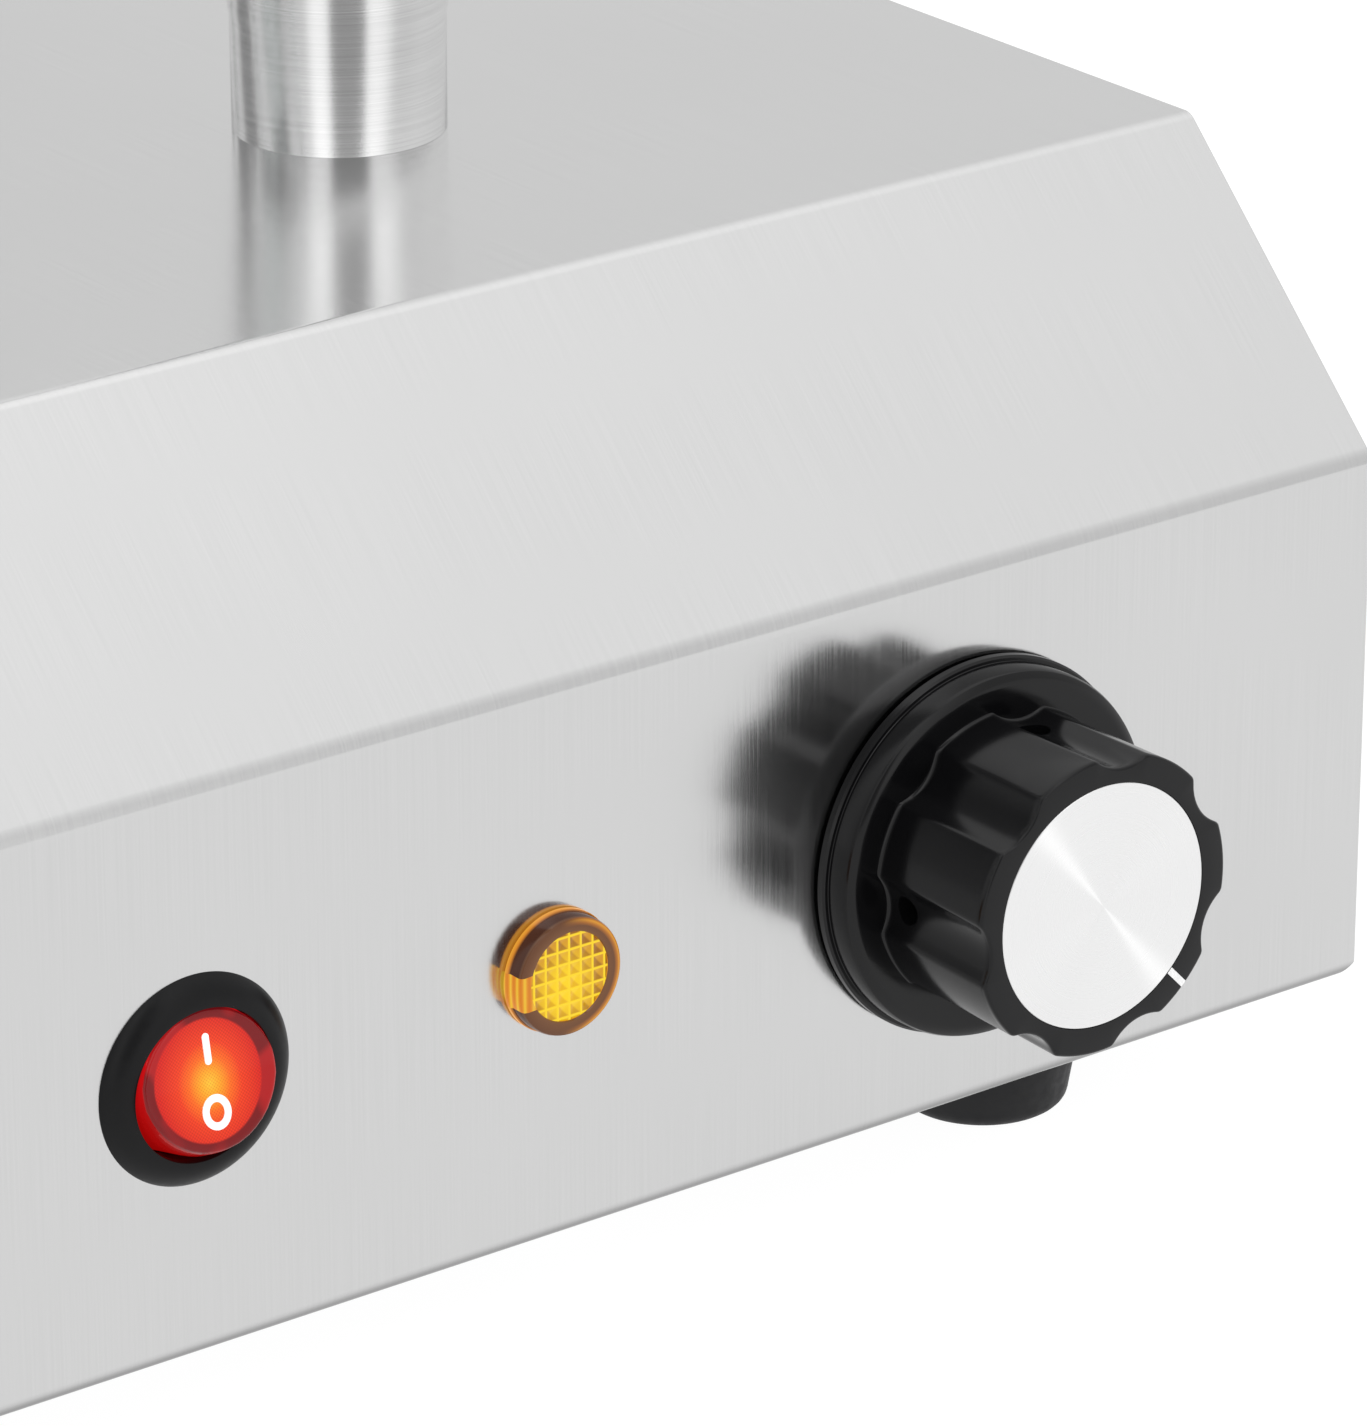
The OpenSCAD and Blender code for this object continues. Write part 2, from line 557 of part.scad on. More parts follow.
// Each wire runs from one terminal to the next: of the switch, lamp, thermostat, heaters and block.
switch_x = from_right(switch_in);
lamp_x = from_right(lamp_in);
wire_d = 2.4;
block_front = block_y - 10;
lead_z = top_z - stub_l - 13.4;
lead = 2.4;            // each heater lead's distance from its spike's axis
hang_z = lead_z - 17;
switch_y = front_y + 23.5;
lamp_y = front_y + 28.5;
thermostat_y = front_y + 36.5;
// A point beyond the end of one of the element's two legs, in line with it.
function leg_end(side, out) = let (reach = element_ring_r + 32 + out)
  [steam_x + reach * cos(15), steam_y + side * reach * sin(15), element_z];

// A link between the leads of two neighbouring spike heaters.
function link(x1, y1, x2, y2) = let (a = [x1, y1], b = [x2, y2], on = 20 * unit(a, b)) [[x1, y1, lead_z],
  [x1, y1, lead_z - 9], [x1 + on.x, y1 + on.y, hang_z], [x2 - on.x, y2 - on.y, hang_z],
  [x2, y2, lead_z - 9], [x2, y2, lead_z]];
wire_routes = [
  // Block to switch
  [[block_x, block_front, 22], [block_x, block_front - 18, 20], [block_x - 21, front_y + 96, 18],
    [switch_x + 17, front_y + 46, 30], [switch_x + 5, switch_y + 11, 40], [switch_x + 5, switch_y, control_z]],
  // Switch to lamp
  [[switch_x, switch_y, control_z], [switch_x, switch_y + 9, 46], [switch_x + 12, front_y + 42, 52],
    [lamp_x - 13, front_y + 42, 50], [lamp_x - 2.5, lamp_y + 10, 44], [lamp_x - 2.5, lamp_y, control_z]],
  // Lamp to thermostat
  [[lamp_x + 2.5, lamp_y, control_z], [lamp_x + 3.5, lamp_y + 10, 45], [lamp_x + 20, front_y + 50, 52],
    [thermostat_x - 20, front_y + 52, 54], [thermostat_x - 12, front_y + 46, 51],
    [thermostat_x - 12, thermostat_y, 50]],
  // Thermostat to the first spike heater
  [[thermostat_x, thermostat_y, 50], [thermostat_x, front_y + 48, 50], [thermostat_x - 8, front_y + 64, 58],
    [spike_x(0) + lead + 4, spike_y(0) - 8, 66], [spike_x(0) + lead, spike_y(0), lead_z - 9],
    [spike_x(0) + lead, spike_y(0), lead_z]],
  link(spike_x(0) - lead, spike_y(0), spike_x(1) + lead, spike_y(0)),
  link(spike_x(1) - lead, spike_y(0), spike_x(1) - lead, spike_y(1)),
  link(spike_x(1) + lead, spike_y(1), spike_x(0) - lead, spike_y(1)),
  // Last spike heater to the block
  [[spike_x(0) + lead, spike_y(1), lead_z], [spike_x(0) + lead + 1, spike_y(1) + 3, lead_z - 11],
    [block_x + 31, block_y + 18, 45], [block_x + 21, block_y + 26, 26], [block_x + 12, block_y + 19, 22],
    [block_x + 12, block_y + 10, 22]],
  // Block to the pan heater, and from there to the switch
  [[block_x - 12, block_front, 22], [block_x - 12, block_front - 14, 22], [block_x - 81, block_front - 24, 26],
    leg_end(1, 22) - [0, 0, 6], leg_end(1, 8), leg_end(1, 0.4)],
  [leg_end(-1, 0.4), leg_end(-1, 8), leg_end(-1, 16) - [0, 1, 1],
    [switch_x - 50, front_y + 76, 42], [switch_x - 18, front_y + 41, 40], [switch_x - 5, switch_y + 11, 42],
    [switch_x - 5, switch_y, control_z]],
  // Block to the earth stud
  [[block_x + 12, block_front, 22], [block_x + 19, block_front - 15, 20], [earth_x - 12, block_front - 15, 17],
    [earth_x, block_front - 5, 15.9], [earth_x, block_y - 5, 15.9]]];
module wiring_loom() color([0.55, 0.12, 0.10]) for (route = wire_routes) swept(route, wire_d, 3);

// ---- Water pan and steam cylinder ----

pan_flange_r = 104;
pan_z = top_z + gap;                  // underside of the pan's flange
pan_floor_z = pan_bottom_z + gap + pan_t;
collar_r = glass_d / 2 + 2.4;
collar_h = 12;
seal_base = 2;
seal_z = pan_z + pan_t + gap;         // underside of the glass's seal
glass_z = seal_z + seal_base;
glass_top = glass_z + glass_h;

module water_pan() color(bright) at_steam(0) rotate_extrude() difference() {
  union() {
    translate([0, pan_floor_z - pan_t]) square([pan_r + pan_t, pan_z + pan_t - pan_floor_z + pan_t]);
    translate([0, pan_z]) square([pan_flange_r, pan_t]);
    translate([pan_flange_r, pan_z + pan_t / 2]) circle(pan_t / 2);
    translate([collar_r, pan_z]) square([pan_t, collar_h]);
  }
  translate([-1, pan_floor_z]) square([pan_r + 1, 100]);
}
module glass_seal() color([0.85, 0.85, 0.84]) at_steam(seal_z) difference() {
  tube(glass_d / 2 + 1.8, glass_d / 2 - glass_t - 1.6, 8);
  ring(glass_d / 2, glass_d / 2 - glass_t, seal_base, 9);
}
module glass_cylinder() color([0.75, 0.85, 0.88, 0.4]) at_steam(glass_z)
  tube(glass_d / 2, glass_d / 2 - glass_t, glass_h);

basket_r = 79;
floor_t = 1.2;
floor_z = top_z + 4;
wire_r = 2;
stem_r = 4;
cage_top = glass_z + 95;
grip_z = glass_top - 40;

module basket_floor() color(bright) at_steam(0) {
  difference() {
    translate([0, 0, floor_z]) cylinder(h = floor_t, r = basket_r);
    translate([0, 0, floor_z - 1]) {
      cylinder(h = 4, r = stem_r);
      for (band = [1 : 4], i = [0 : 6 * band - 1]) rotate(i * 60 / band) translate([band * 16.5, 0, 0]) cylinder(h = 4, r = 4);
    }
  }
  for (a = [30 : 120 : 270]) rotate(a) translate([basket_r - 3.4, 0, pan_floor_z + gap])
    cylinder(h = floor_z - pan_floor_z - gap + floor_t / 2, r = 2.5);
}
module basket_hoops() color(bright) at_steam(0) for (z = [floor_z + floor_t + wire_r, cage_top])
  translate([0, 0, z]) rotate_extrude() translate([basket_r - wire_r, 0]) circle(wire_r);
hoop_inner = basket_r - 2 * wire_r;
rod_r = 1.8;
module basket_wires() color(bright) at_steam(0) {
  // Upright wires, welded inside the two hoops.
  for (a = [22.5 : 45 : 340]) rotate(a) translate([hoop_inner - rod_r + 0.03, 0, floor_z + floor_t])
    cylinder(h = cage_top + wire_r - floor_z - floor_t, r = rod_r);
  // Four spokes from the stem to the upper hoop.
  for (a = [45 : 90 : 315]) rotate(a) translate([stem_r, 0, cage_top]) rotate([0, 90, 0])
    cylinder(h = hoop_inner - stem_r + 0.05, r = rod_r);
}
module basket_stem() color(bright) at_steam(floor_z - 4) {
  cylinder(h = grip_z - floor_z + 4 + 12, r = stem_r);
  translate([0, 0, 0]) hex_nut(12, 4, 2 * stem_r);
}
module basket_grip() color(black) at_steam(grip_z) difference() {
  rotate_extrude() difference() {
    union() {
      translate([0, 4]) square([9, 20]);
      translate([9, 14]) circle(6);
      translate([0, 0]) square([8, 6]);
    }
    translate([-40, -5]) square([40, 50]);
  }
  translate([0, 0, -1]) cylinder(h = 13, r = stem_r);
}

lid_r = glass_d / 2 + 2.6;
lid_t = 1;
lid_z = glass_top + gap;              // underside of the lid over the glass
lid_drop = 12;
lid_rise = 5;
lid_knob_h = 24;

module lid() color(bright) at_steam(lid_z) difference() {
  union() {
    cylinder(h = lid_t, r = lid_r);
    translate([0, 0, lid_t]) cylinder(h = lid_rise, r1 = lid_r - 6, r2 = 50);
    ring(lid_r, lid_r - lid_t, -lid_drop, lid_t);
  }
  translate([0, 0, -1]) cylinder(h = 1 + 0.01, r = 60);
  translate([0, 0, -0.01]) cylinder(h = lid_rise + 0.01, r1 = lid_r - 7, r2 = 50 - 1);
  cylinder(h = 20, r = 2.6);
  for (a = [0 : 60 : 300]) rotate(a) translate([34, 0, -1]) cylinder(h = 20, r = 2.5);
}
module lid_knob() color(black) at_steam(lid_z + lid_t + lid_rise) difference() {
  rotate_extrude() difference() {
    union() {
      square([9, 12]);
      translate([0, 12]) square([11, 12]);
      translate([11, 18]) circle(6);
    }
    translate([12, 5]) circle(6);
    translate([-40, -5]) square([40, 50]);
  }
  translate([0, 0, -1]) cylinder(h = 14, r = 2.5);
}
module lid_screw() color(zinc) at_steam(lid_z + lid_rise) screw(5, 13, 10, 2.6);

housing_shell();
left_end_panel();
right_end_panel();
bottom_plate();
bottom_screws();
foot_front_left();
foot_front_right();
foot_rear_left();
foot_rear_right();
foot_screws();
foot_nuts();
spike_front_left();
spike_front_right();
spike_rear_left();
spike_rear_right();
spike_washers();
spike_nuts();
heater_front_left();
heater_front_right();
heater_rear_left();
heater_rear_right();
switch_body();
switch_terminals();
rocker();
rocker_marks();
pilot_lens();
pilot_body();
pilot_clip();
thermostat_body();
thermostat_bracket();
thermostat_screws();
thermostat_spindle();
knob();
knob_disc();
knob_pointer();
knob_grub_screws();
capillary_bulb();
bulb_clips();
pan_heater();
heater_plate();
heater_bracket();
thermal_cutout();
gland_body();
gland_cap();
gland_locknut();
terminal_block();
terminal_screws();
earth_stud();
wiring_loom();
water_pan();
glass_seal();
glass_cylinder();
basket_floor();
basket_hoops();
basket_wires();
basket_stem();
basket_grip();
lid();
lid_knob();
lid_screw();
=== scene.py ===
import math

import bmesh
import bpy
from mathutils import Matrix, Vector


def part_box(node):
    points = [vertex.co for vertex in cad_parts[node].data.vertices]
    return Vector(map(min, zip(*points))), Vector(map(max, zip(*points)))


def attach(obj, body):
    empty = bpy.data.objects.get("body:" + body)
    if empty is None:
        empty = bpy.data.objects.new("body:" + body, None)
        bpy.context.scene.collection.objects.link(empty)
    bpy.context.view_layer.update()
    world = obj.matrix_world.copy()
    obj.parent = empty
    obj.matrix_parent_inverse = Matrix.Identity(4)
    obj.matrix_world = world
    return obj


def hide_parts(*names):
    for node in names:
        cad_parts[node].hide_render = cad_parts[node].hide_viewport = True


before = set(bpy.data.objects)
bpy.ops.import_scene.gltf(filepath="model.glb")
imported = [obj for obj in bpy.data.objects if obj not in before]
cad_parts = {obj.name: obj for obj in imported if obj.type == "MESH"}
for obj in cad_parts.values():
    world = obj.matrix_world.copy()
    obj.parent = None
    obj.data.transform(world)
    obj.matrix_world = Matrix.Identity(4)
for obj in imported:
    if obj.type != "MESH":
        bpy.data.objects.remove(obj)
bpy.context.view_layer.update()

mm = 0.001


# ---- Camera ----
# A long lens stands high, in front of the machine and past its left end.
# It looks down on the controls at the right end of the front panel.
body_low, body_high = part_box("housing_shell")
camera_data = bpy.data.cameras.new("camera")
camera_data.lens = 197.7
camera_data.sensor_width = 36
camera_data.clip_end = 20
camera = bpy.data.objects.new("camera", camera_data)
camera.location = (body_high.x - 587.1 * mm, body_low.y - 635.6 * mm, body_low.z + 384.7 * mm)
camera.rotation_euler = (math.radians(90 - 22.14), 0, math.radians(-37.37))
bpy.context.scene.collection.objects.link(camera)
bpy.context.scene.camera = camera


# ---- Studio floor, walls and lights ----
# A lit white table under a white tent: brightest overhead, a little greyer behind the machine.
# Gaps in the tent, beside the camera and behind, leave the dark bands that round metal shows.
bpy.context.scene.view_settings.view_transform = "Standard"


def add_node(owner, kind, **values):
    """A node of a material or of the world, its settings and plain inputs given by name."""
    made = owner.node_tree.nodes.new(kind)
    for key, value in values.items():
        if hasattr(made, key):
            setattr(made, key, value)
        else:
            made.inputs[key.replace("_", " ")].default_value = value
    return made


def join(owner, output, socket):
    owner.node_tree.links.new(output, socket)


def do_math(owner, operation, *values):
    step = add_node(owner, "ShaderNodeMath", operation=operation)
    for socket, value in zip(step.inputs, values):
        if isinstance(value, (int, float)):
            socket.default_value = value
        else:
            join(owner, value, socket)
    return step.outputs["Value"]


def colour_ramp(owner, value, stops):
    """Colours over a value that runs from 0 to 1."""
    ramp = add_node(owner, "ShaderNodeValToRGB")
    while len(ramp.color_ramp.elements) < len(stops):
        ramp.color_ramp.elements.new(0.5)
    for element, (place, colour) in zip(ramp.color_ramp.elements, stops):
        element.position = place
        element.color = (*colour, 1)
    join(owner, value, ramp.inputs["Fac"])
    return ramp.outputs["Color"]


def blend_colours(owner, share, low, high, how="MIX"):
    blend = add_node(owner, "ShaderNodeMix", data_type="RGBA", blend_type=how)
    for name, value in (("Factor", share), ("A", low), ("B", high)):
        socket = blend.inputs[name]
        if isinstance(value, (int, float)):
            socket.default_value = value
        elif isinstance(value, tuple):
            socket.default_value = (*value, 1)
        else:
            join(owner, value, socket)
    return blend.outputs["Result"]


def shader_of(material):
    return material.node_tree.nodes["Principled BSDF"]


def new_finish(name, colour, metallic, roughness, **inputs):
    material = bpy.data.materials.new(name)
    material.use_nodes = True
    inputs.update(Base_Color=(*colour, 1), Metallic=metallic, Roughness=roughness)
    for key, value in inputs.items():
        shader_of(material).inputs[key.replace("_", " ")].default_value = value
    return material


floor_mesh = bpy.data.meshes.new("floor")
floor_reach = 4.0
floor_corners = [(x * floor_reach, y * floor_reach, 0) for x, y in ((-1, -1), (1, -1), (1, 1), (-1, 1))]
floor_mesh.from_pydata(floor_corners, [], [(0, 1, 2, 3)])
floor = bpy.data.objects.new("floor", floor_mesh)
bpy.context.scene.collection.objects.link(floor)
floor_paint = new_finish("lit_table", (0.12, 0.12, 0.12), 0, 1.0, Specular_IOR_Level=0.0,
                         Emission_Color=(1, 1, 1, 1), Emission_Strength=0.97)
floor_mesh.materials.append(floor_paint)

world = bpy.data.worlds.new("tent")
bpy.context.scene.world = world
world.use_nodes = True
tent_light = world.node_tree.nodes["Background"]
direction = add_node(world, "ShaderNodeTexCoord")
parts = add_node(world, "ShaderNodeSeparateXYZ")
join(world, direction.outputs["Generated"], parts.inputs["Vector"])
height = do_math(world, "MULTIPLY_ADD", parts.outputs["Z"], 0.5, 0.5)
turn = do_math(world, "MULTIPLY_ADD", do_math(world, "ARCTAN2", parts.outputs["Y"], parts.outputs["X"]),
               0.5 / math.pi, 0.5)
height_white = 2.6
turn_white = 1.7


def tent_ramp(value, white, stops):
    """Brightness over a value that runs from 0 to 1, as a share of the brightness that counts as white."""
    return colour_ramp(world, value, [(place, [bright / white] * 3) for place, bright in stops])


by_height = tent_ramp(height, height_white, [(0.0, 0.95), (0.5, 0.9), (0.69, 0.92), (0.80, 1.05),
                                             (0.865, 1.16), (0.93, 1.35), (0.97, 1.55), (1.0, 1.6)])
# Turn runs from 0 at the left through the front at 0.25 and the right at 0.5 to the back at 0.75.
by_turn = tent_ramp(turn, turn_white, [
    (0.05, 1.0), (0.075, 1.7), (0.122, 1.7), (0.132, 0.45), (0.232, 0.45), (0.246, 1.7), (0.30, 1.5),
    (0.34, 0.95), (0.38, 0.97), (0.43, 1.03), (0.78, 0.96), (0.79, 0.4), (0.85, 0.4), (0.87, 1.0)])
tent_colour = blend_colours(world, 1.0, by_height, by_turn, "MULTIPLY")
join(world, tent_colour, tent_light.inputs["Color"])
tent_light.inputs["Strength"].default_value = height_white * turn_white


# ---- Folded body shell ----
# One sheet of 1 mm stainless steel is folded into the front face, slope, top plate, rear face and flanges.
# Its grain runs from the front flange over the top to the rear, and every hole is punched before folding.
sheet = 1.0 * mm
front_height = 66.6 * mm
flange_width = 36 * mm
slope = (body_high.z - body_low.z) - front_height
front_y = body_low.y
rear_y = body_high.y
base_z = body_low.z
top_z = body_high.z


def arc_outline(corners, steps=10):
    """Points along a path whose corners (x, y, radius) are rounded by arcs."""
    points = []
    for i, (x, y, radius) in enumerate(corners):
        here = Vector((x, y))
        if radius == 0 or i in (0, len(corners) - 1):
            points.append((x, y))
            continue
        back = (Vector(corners[i - 1][:2]) - here).normalized()
        ahead = (Vector(corners[i + 1][:2]) - here).normalized()
        half = back.angle(ahead) / 2
        middle = here + (back + ahead).normalized() * radius / math.sin(half)
        start = here + back * radius / math.tan(half)
        turn_by = math.pi - 2 * half
        side = 1 if back.x * ahead.y - back.y * ahead.x < 0 else -1
        for step in range(steps + 1):
            angle = side * turn_by * step / steps
            arm = start - middle
            points.append((middle.x + arm.x * math.cos(angle) - arm.y * math.sin(angle),
                           middle.y + arm.x * math.sin(angle) + arm.y * math.cos(angle)))
    return points


def add_piece(name, shape, material, body, slot, *nodes, smooth=35):
    """A finished shape becomes a piece that rides on a body, wears a material and stands for CAD nodes."""
    bmesh.ops.recalc_face_normals(shape, faces=shape.faces)
    mesh = bpy.data.meshes.new(name)
    shape.to_mesh(mesh)
    shape.free()
    piece = bpy.data.objects.new(name, mesh)
    bpy.context.scene.collection.objects.link(piece)
    mesh.materials.append(material)
    mesh.shade_smooth()
    if smooth:
        mesh.set_sharp_from_angle(angle=math.radians(smooth))
    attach(piece, body)
    if nodes:
        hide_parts(*nodes)
    return piece


def lathe(outline, centre, turned=None, steps=96):
    """Turns an outline of (radius, height) points about an axis through centre, +Z unless turned."""
    turned = turned or Matrix.Identity(3)
    mesh = bmesh.new()
    rings = []
    for radius, along in outline:
        count = 1 if radius < 1e-7 else steps
        rings.append([mesh.verts.new(Vector(centre) + turned @ Vector((
            radius * math.cos(math.tau * i / steps), radius * math.sin(math.tau * i / steps), along)))
            for i in range(count)])
    for low, high in zip(rings, rings[1:]):
        for i in range(steps):
            a, b = low[i % len(low)], low[(i + 1) % len(low)]
            c, d = high[(i + 1) % len(high)], high[i % len(high)]
            corners = [v for n, v in enumerate((a, b, c, d)) if v not in (a, b, c, d)[:n]]
            if len(corners) > 2:
                mesh.faces.new(corners)
    return mesh


def cut_holes(piece, cutters):
    """Punches closed cutter shapes out of a piece, and keeps the punched mesh."""
    tool_mesh = bpy.data.meshes.new("punch")
    bmesh.ops.recalc_face_normals(cutters, faces=cutters.faces)
    cutters.to_mesh(tool_mesh)
    cutters.free()
    tool = bpy.data.objects.new("punch", tool_mesh)
    bpy.context.scene.collection.objects.link(tool)
    punch = piece.modifiers.new("punch", "BOOLEAN")
    punch.object = tool
    punch.solver = "EXACT"
    keep_modified(piece)
    bpy.data.objects.remove(tool)


def keep_modified(piece):
    bpy.context.view_layer.update()
    evaluated = piece.evaluated_get(bpy.context.evaluated_depsgraph_get())
    mesh = bpy.data.meshes.new_from_object(evaluated)
    piece.modifiers.clear()
    piece.data = mesh


def drill(cutters, centre, axis, radius, depth, steps=64):
    """Adds a round cutter, centred on the sheet it goes through."""
    spin = Vector((0, 0, 1)).rotation_difference(Vector(axis)).to_matrix().to_4x4()
    bmesh.ops.create_cone(cutters, cap_ends=True, segments=steps, radius1=radius, radius2=radius,
                          depth=depth, matrix=Matrix.Translation(centre) @ spin)


def mill_slot(cutters, centre, length, width, depth, along, axis):
    """Adds a slot cutter with round ends."""
    along, axis = Vector(along), Vector(axis)
    across = axis.cross(along)
    outline = []
    for end in (1, -1):
        for step in range(9):
            angle = math.radians(-90 + 22.5 * step)
            outline.append(end * (along * ((length - width) / 2 + width / 2 * math.cos(angle))
                                  + across * (width / 2 * math.sin(angle))))
    sides = [[cutters.verts.new(Vector(centre) + point + axis * side * depth / 2) for point in outline]
             for side in (-1, 1)]
    count = len(outline)
    cutters.faces.new(reversed(sides[0]))
    cutters.faces.new(sides[1])
    for i in range(count):
        cutters.faces.new((sides[0][i], sides[0][(i + 1) % count], sides[1][(i + 1) % count], sides[1][i]))


def feed(material, output, name):
    """Drives one input of a material's shader."""
    join(material, output, shader_of(material).inputs[name])


def ranged(material, source, low, high, start=0.3, end=0.7):
    """Spreads a value from between start and end to between low and high."""
    spread = add_node(material, "ShaderNodeMapRange", From_Min=start, From_Max=end, To_Min=low, To_Max=high)
    join(material, source, spread.inputs["Value"])
    return spread.outputs["Result"]


def roughen(material, source, low, high, start=0.3, end=0.7):
    feed(material, ranged(material, source, low, high, start, end), "Roughness")


def emboss(material, source, strength, distance=0.0001):
    bump = add_node(material, "ShaderNodeBump", Strength=strength, Distance=distance)
    join(material, source, bump.inputs["Height"])
    feed(material, bump.outputs["Normal"], "Normal")


def scaled(material, colour, amount):
    """A plain colour or a socket's, made brighter or darker."""
    product = add_node(material, "ShaderNodeVectorMath", operation="SCALE")
    if isinstance(colour, tuple):
        product.inputs[0].default_value = colour
    else:
        join(material, colour, product.inputs[0])
    join(material, amount, product.inputs["Scale"])
    return product.outputs["Vector"]


def smooth_step(material, value, start, end, low=0.0, high=1.0):
    spread = add_node(material, "ShaderNodeMapRange", interpolation_type="SMOOTHSTEP", From_Min=start,
                      From_Max=end, To_Min=low, To_Max=high)
    join(material, value, spread.inputs["Value"])
    return spread.outputs["Result"]


def brush(material, amount, axis, turned=0.0):
    """Spreads reflections across a grain, whose direction is taken round an axis."""
    shader = shader_of(material)
    shader.inputs["Anisotropic"].default_value = amount
    shader.inputs["Anisotropic Rotation"].default_value = turned
    tangent = add_node(material, "ShaderNodeTangent", direction_type="RADIAL", axis=axis)
    feed(material, tangent.outputs["Tangent"], "Tangent")


def grained(name, colour, roughness, across, along, fine=5200, tint=0.025, rough_by=0.04, relief=0.02):
    """A metal with a straight grain: noise that changes fast across the grain and slowly along it."""
    slow = 30
    material = new_finish(name, colour, 1.0, roughness)
    place = add_node(material, "ShaderNodeTexCoord")
    lines = []
    for direction_of, scale in ((across, fine), (along, slow)):
        dot = add_node(material, "ShaderNodeVectorMath", operation="DOT_PRODUCT")
        dot.inputs[1].default_value = [v * scale for v in direction_of]
        join(material, place.outputs["Object"], dot.inputs[0])
        lines.append(dot.outputs["Value"])
    grain_space = add_node(material, "ShaderNodeCombineXYZ")
    join(material, lines[0], grain_space.inputs["X"])
    join(material, lines[1], grain_space.inputs["Y"])
    noise = add_node(material, "ShaderNodeTexNoise", Scale=1.0, Detail=5.0, Roughness=0.65)
    join(material, grain_space.outputs["Vector"], noise.inputs["Vector"])
    cloud = add_node(material, "ShaderNodeTexNoise", Scale=18.0, Detail=2.0)
    join(material, place.outputs["Object"], cloud.inputs["Vector"])
    shade = do_math(material, "MULTIPLY", ranged(material, noise.outputs["Fac"], 1 - tint, 1 + tint),
                    ranged(material, cloud.outputs["Fac"], 0.99, 1.01))
    feed(material, scaled(material, colour, shade), "Base Color")
    roughen(material, noise.outputs["Fac"], roughness - rough_by, roughness + rough_by)
    emboss(material, noise.outputs["Fac"], relief, 0.0002)
    return material


steel_colour = (0.588, 0.588, 0.588)
brushed_steel = grained("brushed_steel", steel_colour, 0.16, (1, 0, 0), (0, 1, 1))
brush(brushed_steel, 0.45, "X", turned=0.25)

# Painted shade: under the bend, where the sheet faces down, its colour is darkened to stand for the shadowed
# floor it would reflect.
facing = add_node(brushed_steel, "ShaderNodeNewGeometry")
facing_parts = add_node(brushed_steel, "ShaderNodeSeparateXYZ")
join(brushed_steel, facing.outputs["Normal"], facing_parts.inputs["Vector"])
painted_underside_shade = smooth_step(brushed_steel, facing_parts.outputs["Z"], -0.85, -0.02, low=0.22)
steel_grain = shader_of(brushed_steel).inputs["Base Color"].links[0].from_socket
feed(brushed_steel, scaled(brushed_steel, steel_grain, painted_underside_shade), "Base Color")

bend = 2.4 * mm
soft_bend = 3.6 * mm
section = arc_outline([
    (front_y + flange_width, base_z, 0),
    (front_y, base_z, bend),
    (front_y, base_z + front_height, soft_bend),
    (front_y + slope, top_z, bend),
    (rear_y, top_z, bend),
    (rear_y, base_z, bend),
    (rear_y - flange_width, base_z, 0)])
shell = bmesh.new()
ends = [[shell.verts.new((x, y, z)) for y, z in section] for x in (body_low.x, body_high.x)]
for i in range(len(section) - 1):
    shell.faces.new((ends[0][i], ends[0][i + 1], ends[1][i + 1], ends[1][i]))
housing = add_piece("housing", shell, brushed_steel, "root", "brushed_steel", "housing_shell", smooth=0)
thick = housing.modifiers.new("thickness", "SOLIDIFY")
thick.thickness = sheet
thick.offset = -1
rounded_edge = housing.modifiers.new("edge", "BEVEL")
rounded_edge.width = 0.25 * mm
rounded_edge.segments = 3
rounded_edge.limit_method = "ANGLE"
rounded_edge.angle_limit = math.radians(60)
keep_modified(housing)


def middle_of(node):
    low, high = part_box(node)
    return (low + high) / 2


switch_x = middle_of("switch_body").x
lamp_x = middle_of("pilot_lens").x
knob_x = middle_of("knob").x
control_z = middle_of("knob").z
punches = bmesh.new()
through = 10 * mm
screw_hole = 2.15 * mm
thermostat_pitch = 28 * mm
for x, radius in ((switch_x, 10.1 * mm), (lamp_x, 6.3 * mm), (knob_x, 5 * mm),
                  (knob_x - thermostat_pitch / 2, screw_hole), (knob_x + thermostat_pitch / 2, screw_hole)):
    drill(punches, (x, front_y, control_z), (0, 1, 0), radius, through)
spikes = ["spike_front_left", "spike_front_right", "spike_rear_left", "spike_rear_right"]
for node in spikes:
    drill(punches, (middle_of(node).x, middle_of(node).y, top_z), (0, 0, 1), 10.2 * mm, through)
steam = middle_of("water_pan")
drill(punches, (steam.x, steam.y, top_z), (0, 0, 1), 88 * mm, through, steps=128)
gland = middle_of("gland_locknut")
drill(punches, (gland.x, rear_y, gland.z), (0, 1, 0), 8.1 * mm, through)
vent_z = base_z + (body_high.z - body_low.z) * 0.6
vent_pitch = 8 * mm
for first_vent in (110 * mm, -40 * mm):
    for i in range(8):
        vent_x = first_vent - i * vent_pitch
        mill_slot(punches, (vent_x, rear_y, vent_z), 26 * mm, 3 * mm, through, (0, 0, 1), (0, 1, 0))
feet = ["foot_front_left", "foot_front_right", "foot_rear_left", "foot_rear_right"]
for node in feet:
    drill(punches, (middle_of(node).x, middle_of(node).y, base_z), (0, 0, 1), screw_hole, through, steps=24)
screws_low, screws_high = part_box("bottom_screws")
head_radius = 4 * mm
for y in (screws_low.y + head_radius, screws_high.y - head_radius):
    for x in (-140 * mm, -60 * mm, 60 * mm, 140 * mm):
        drill(punches, (x, y, base_z), (0, 0, 1), screw_hole, through, steps=24)
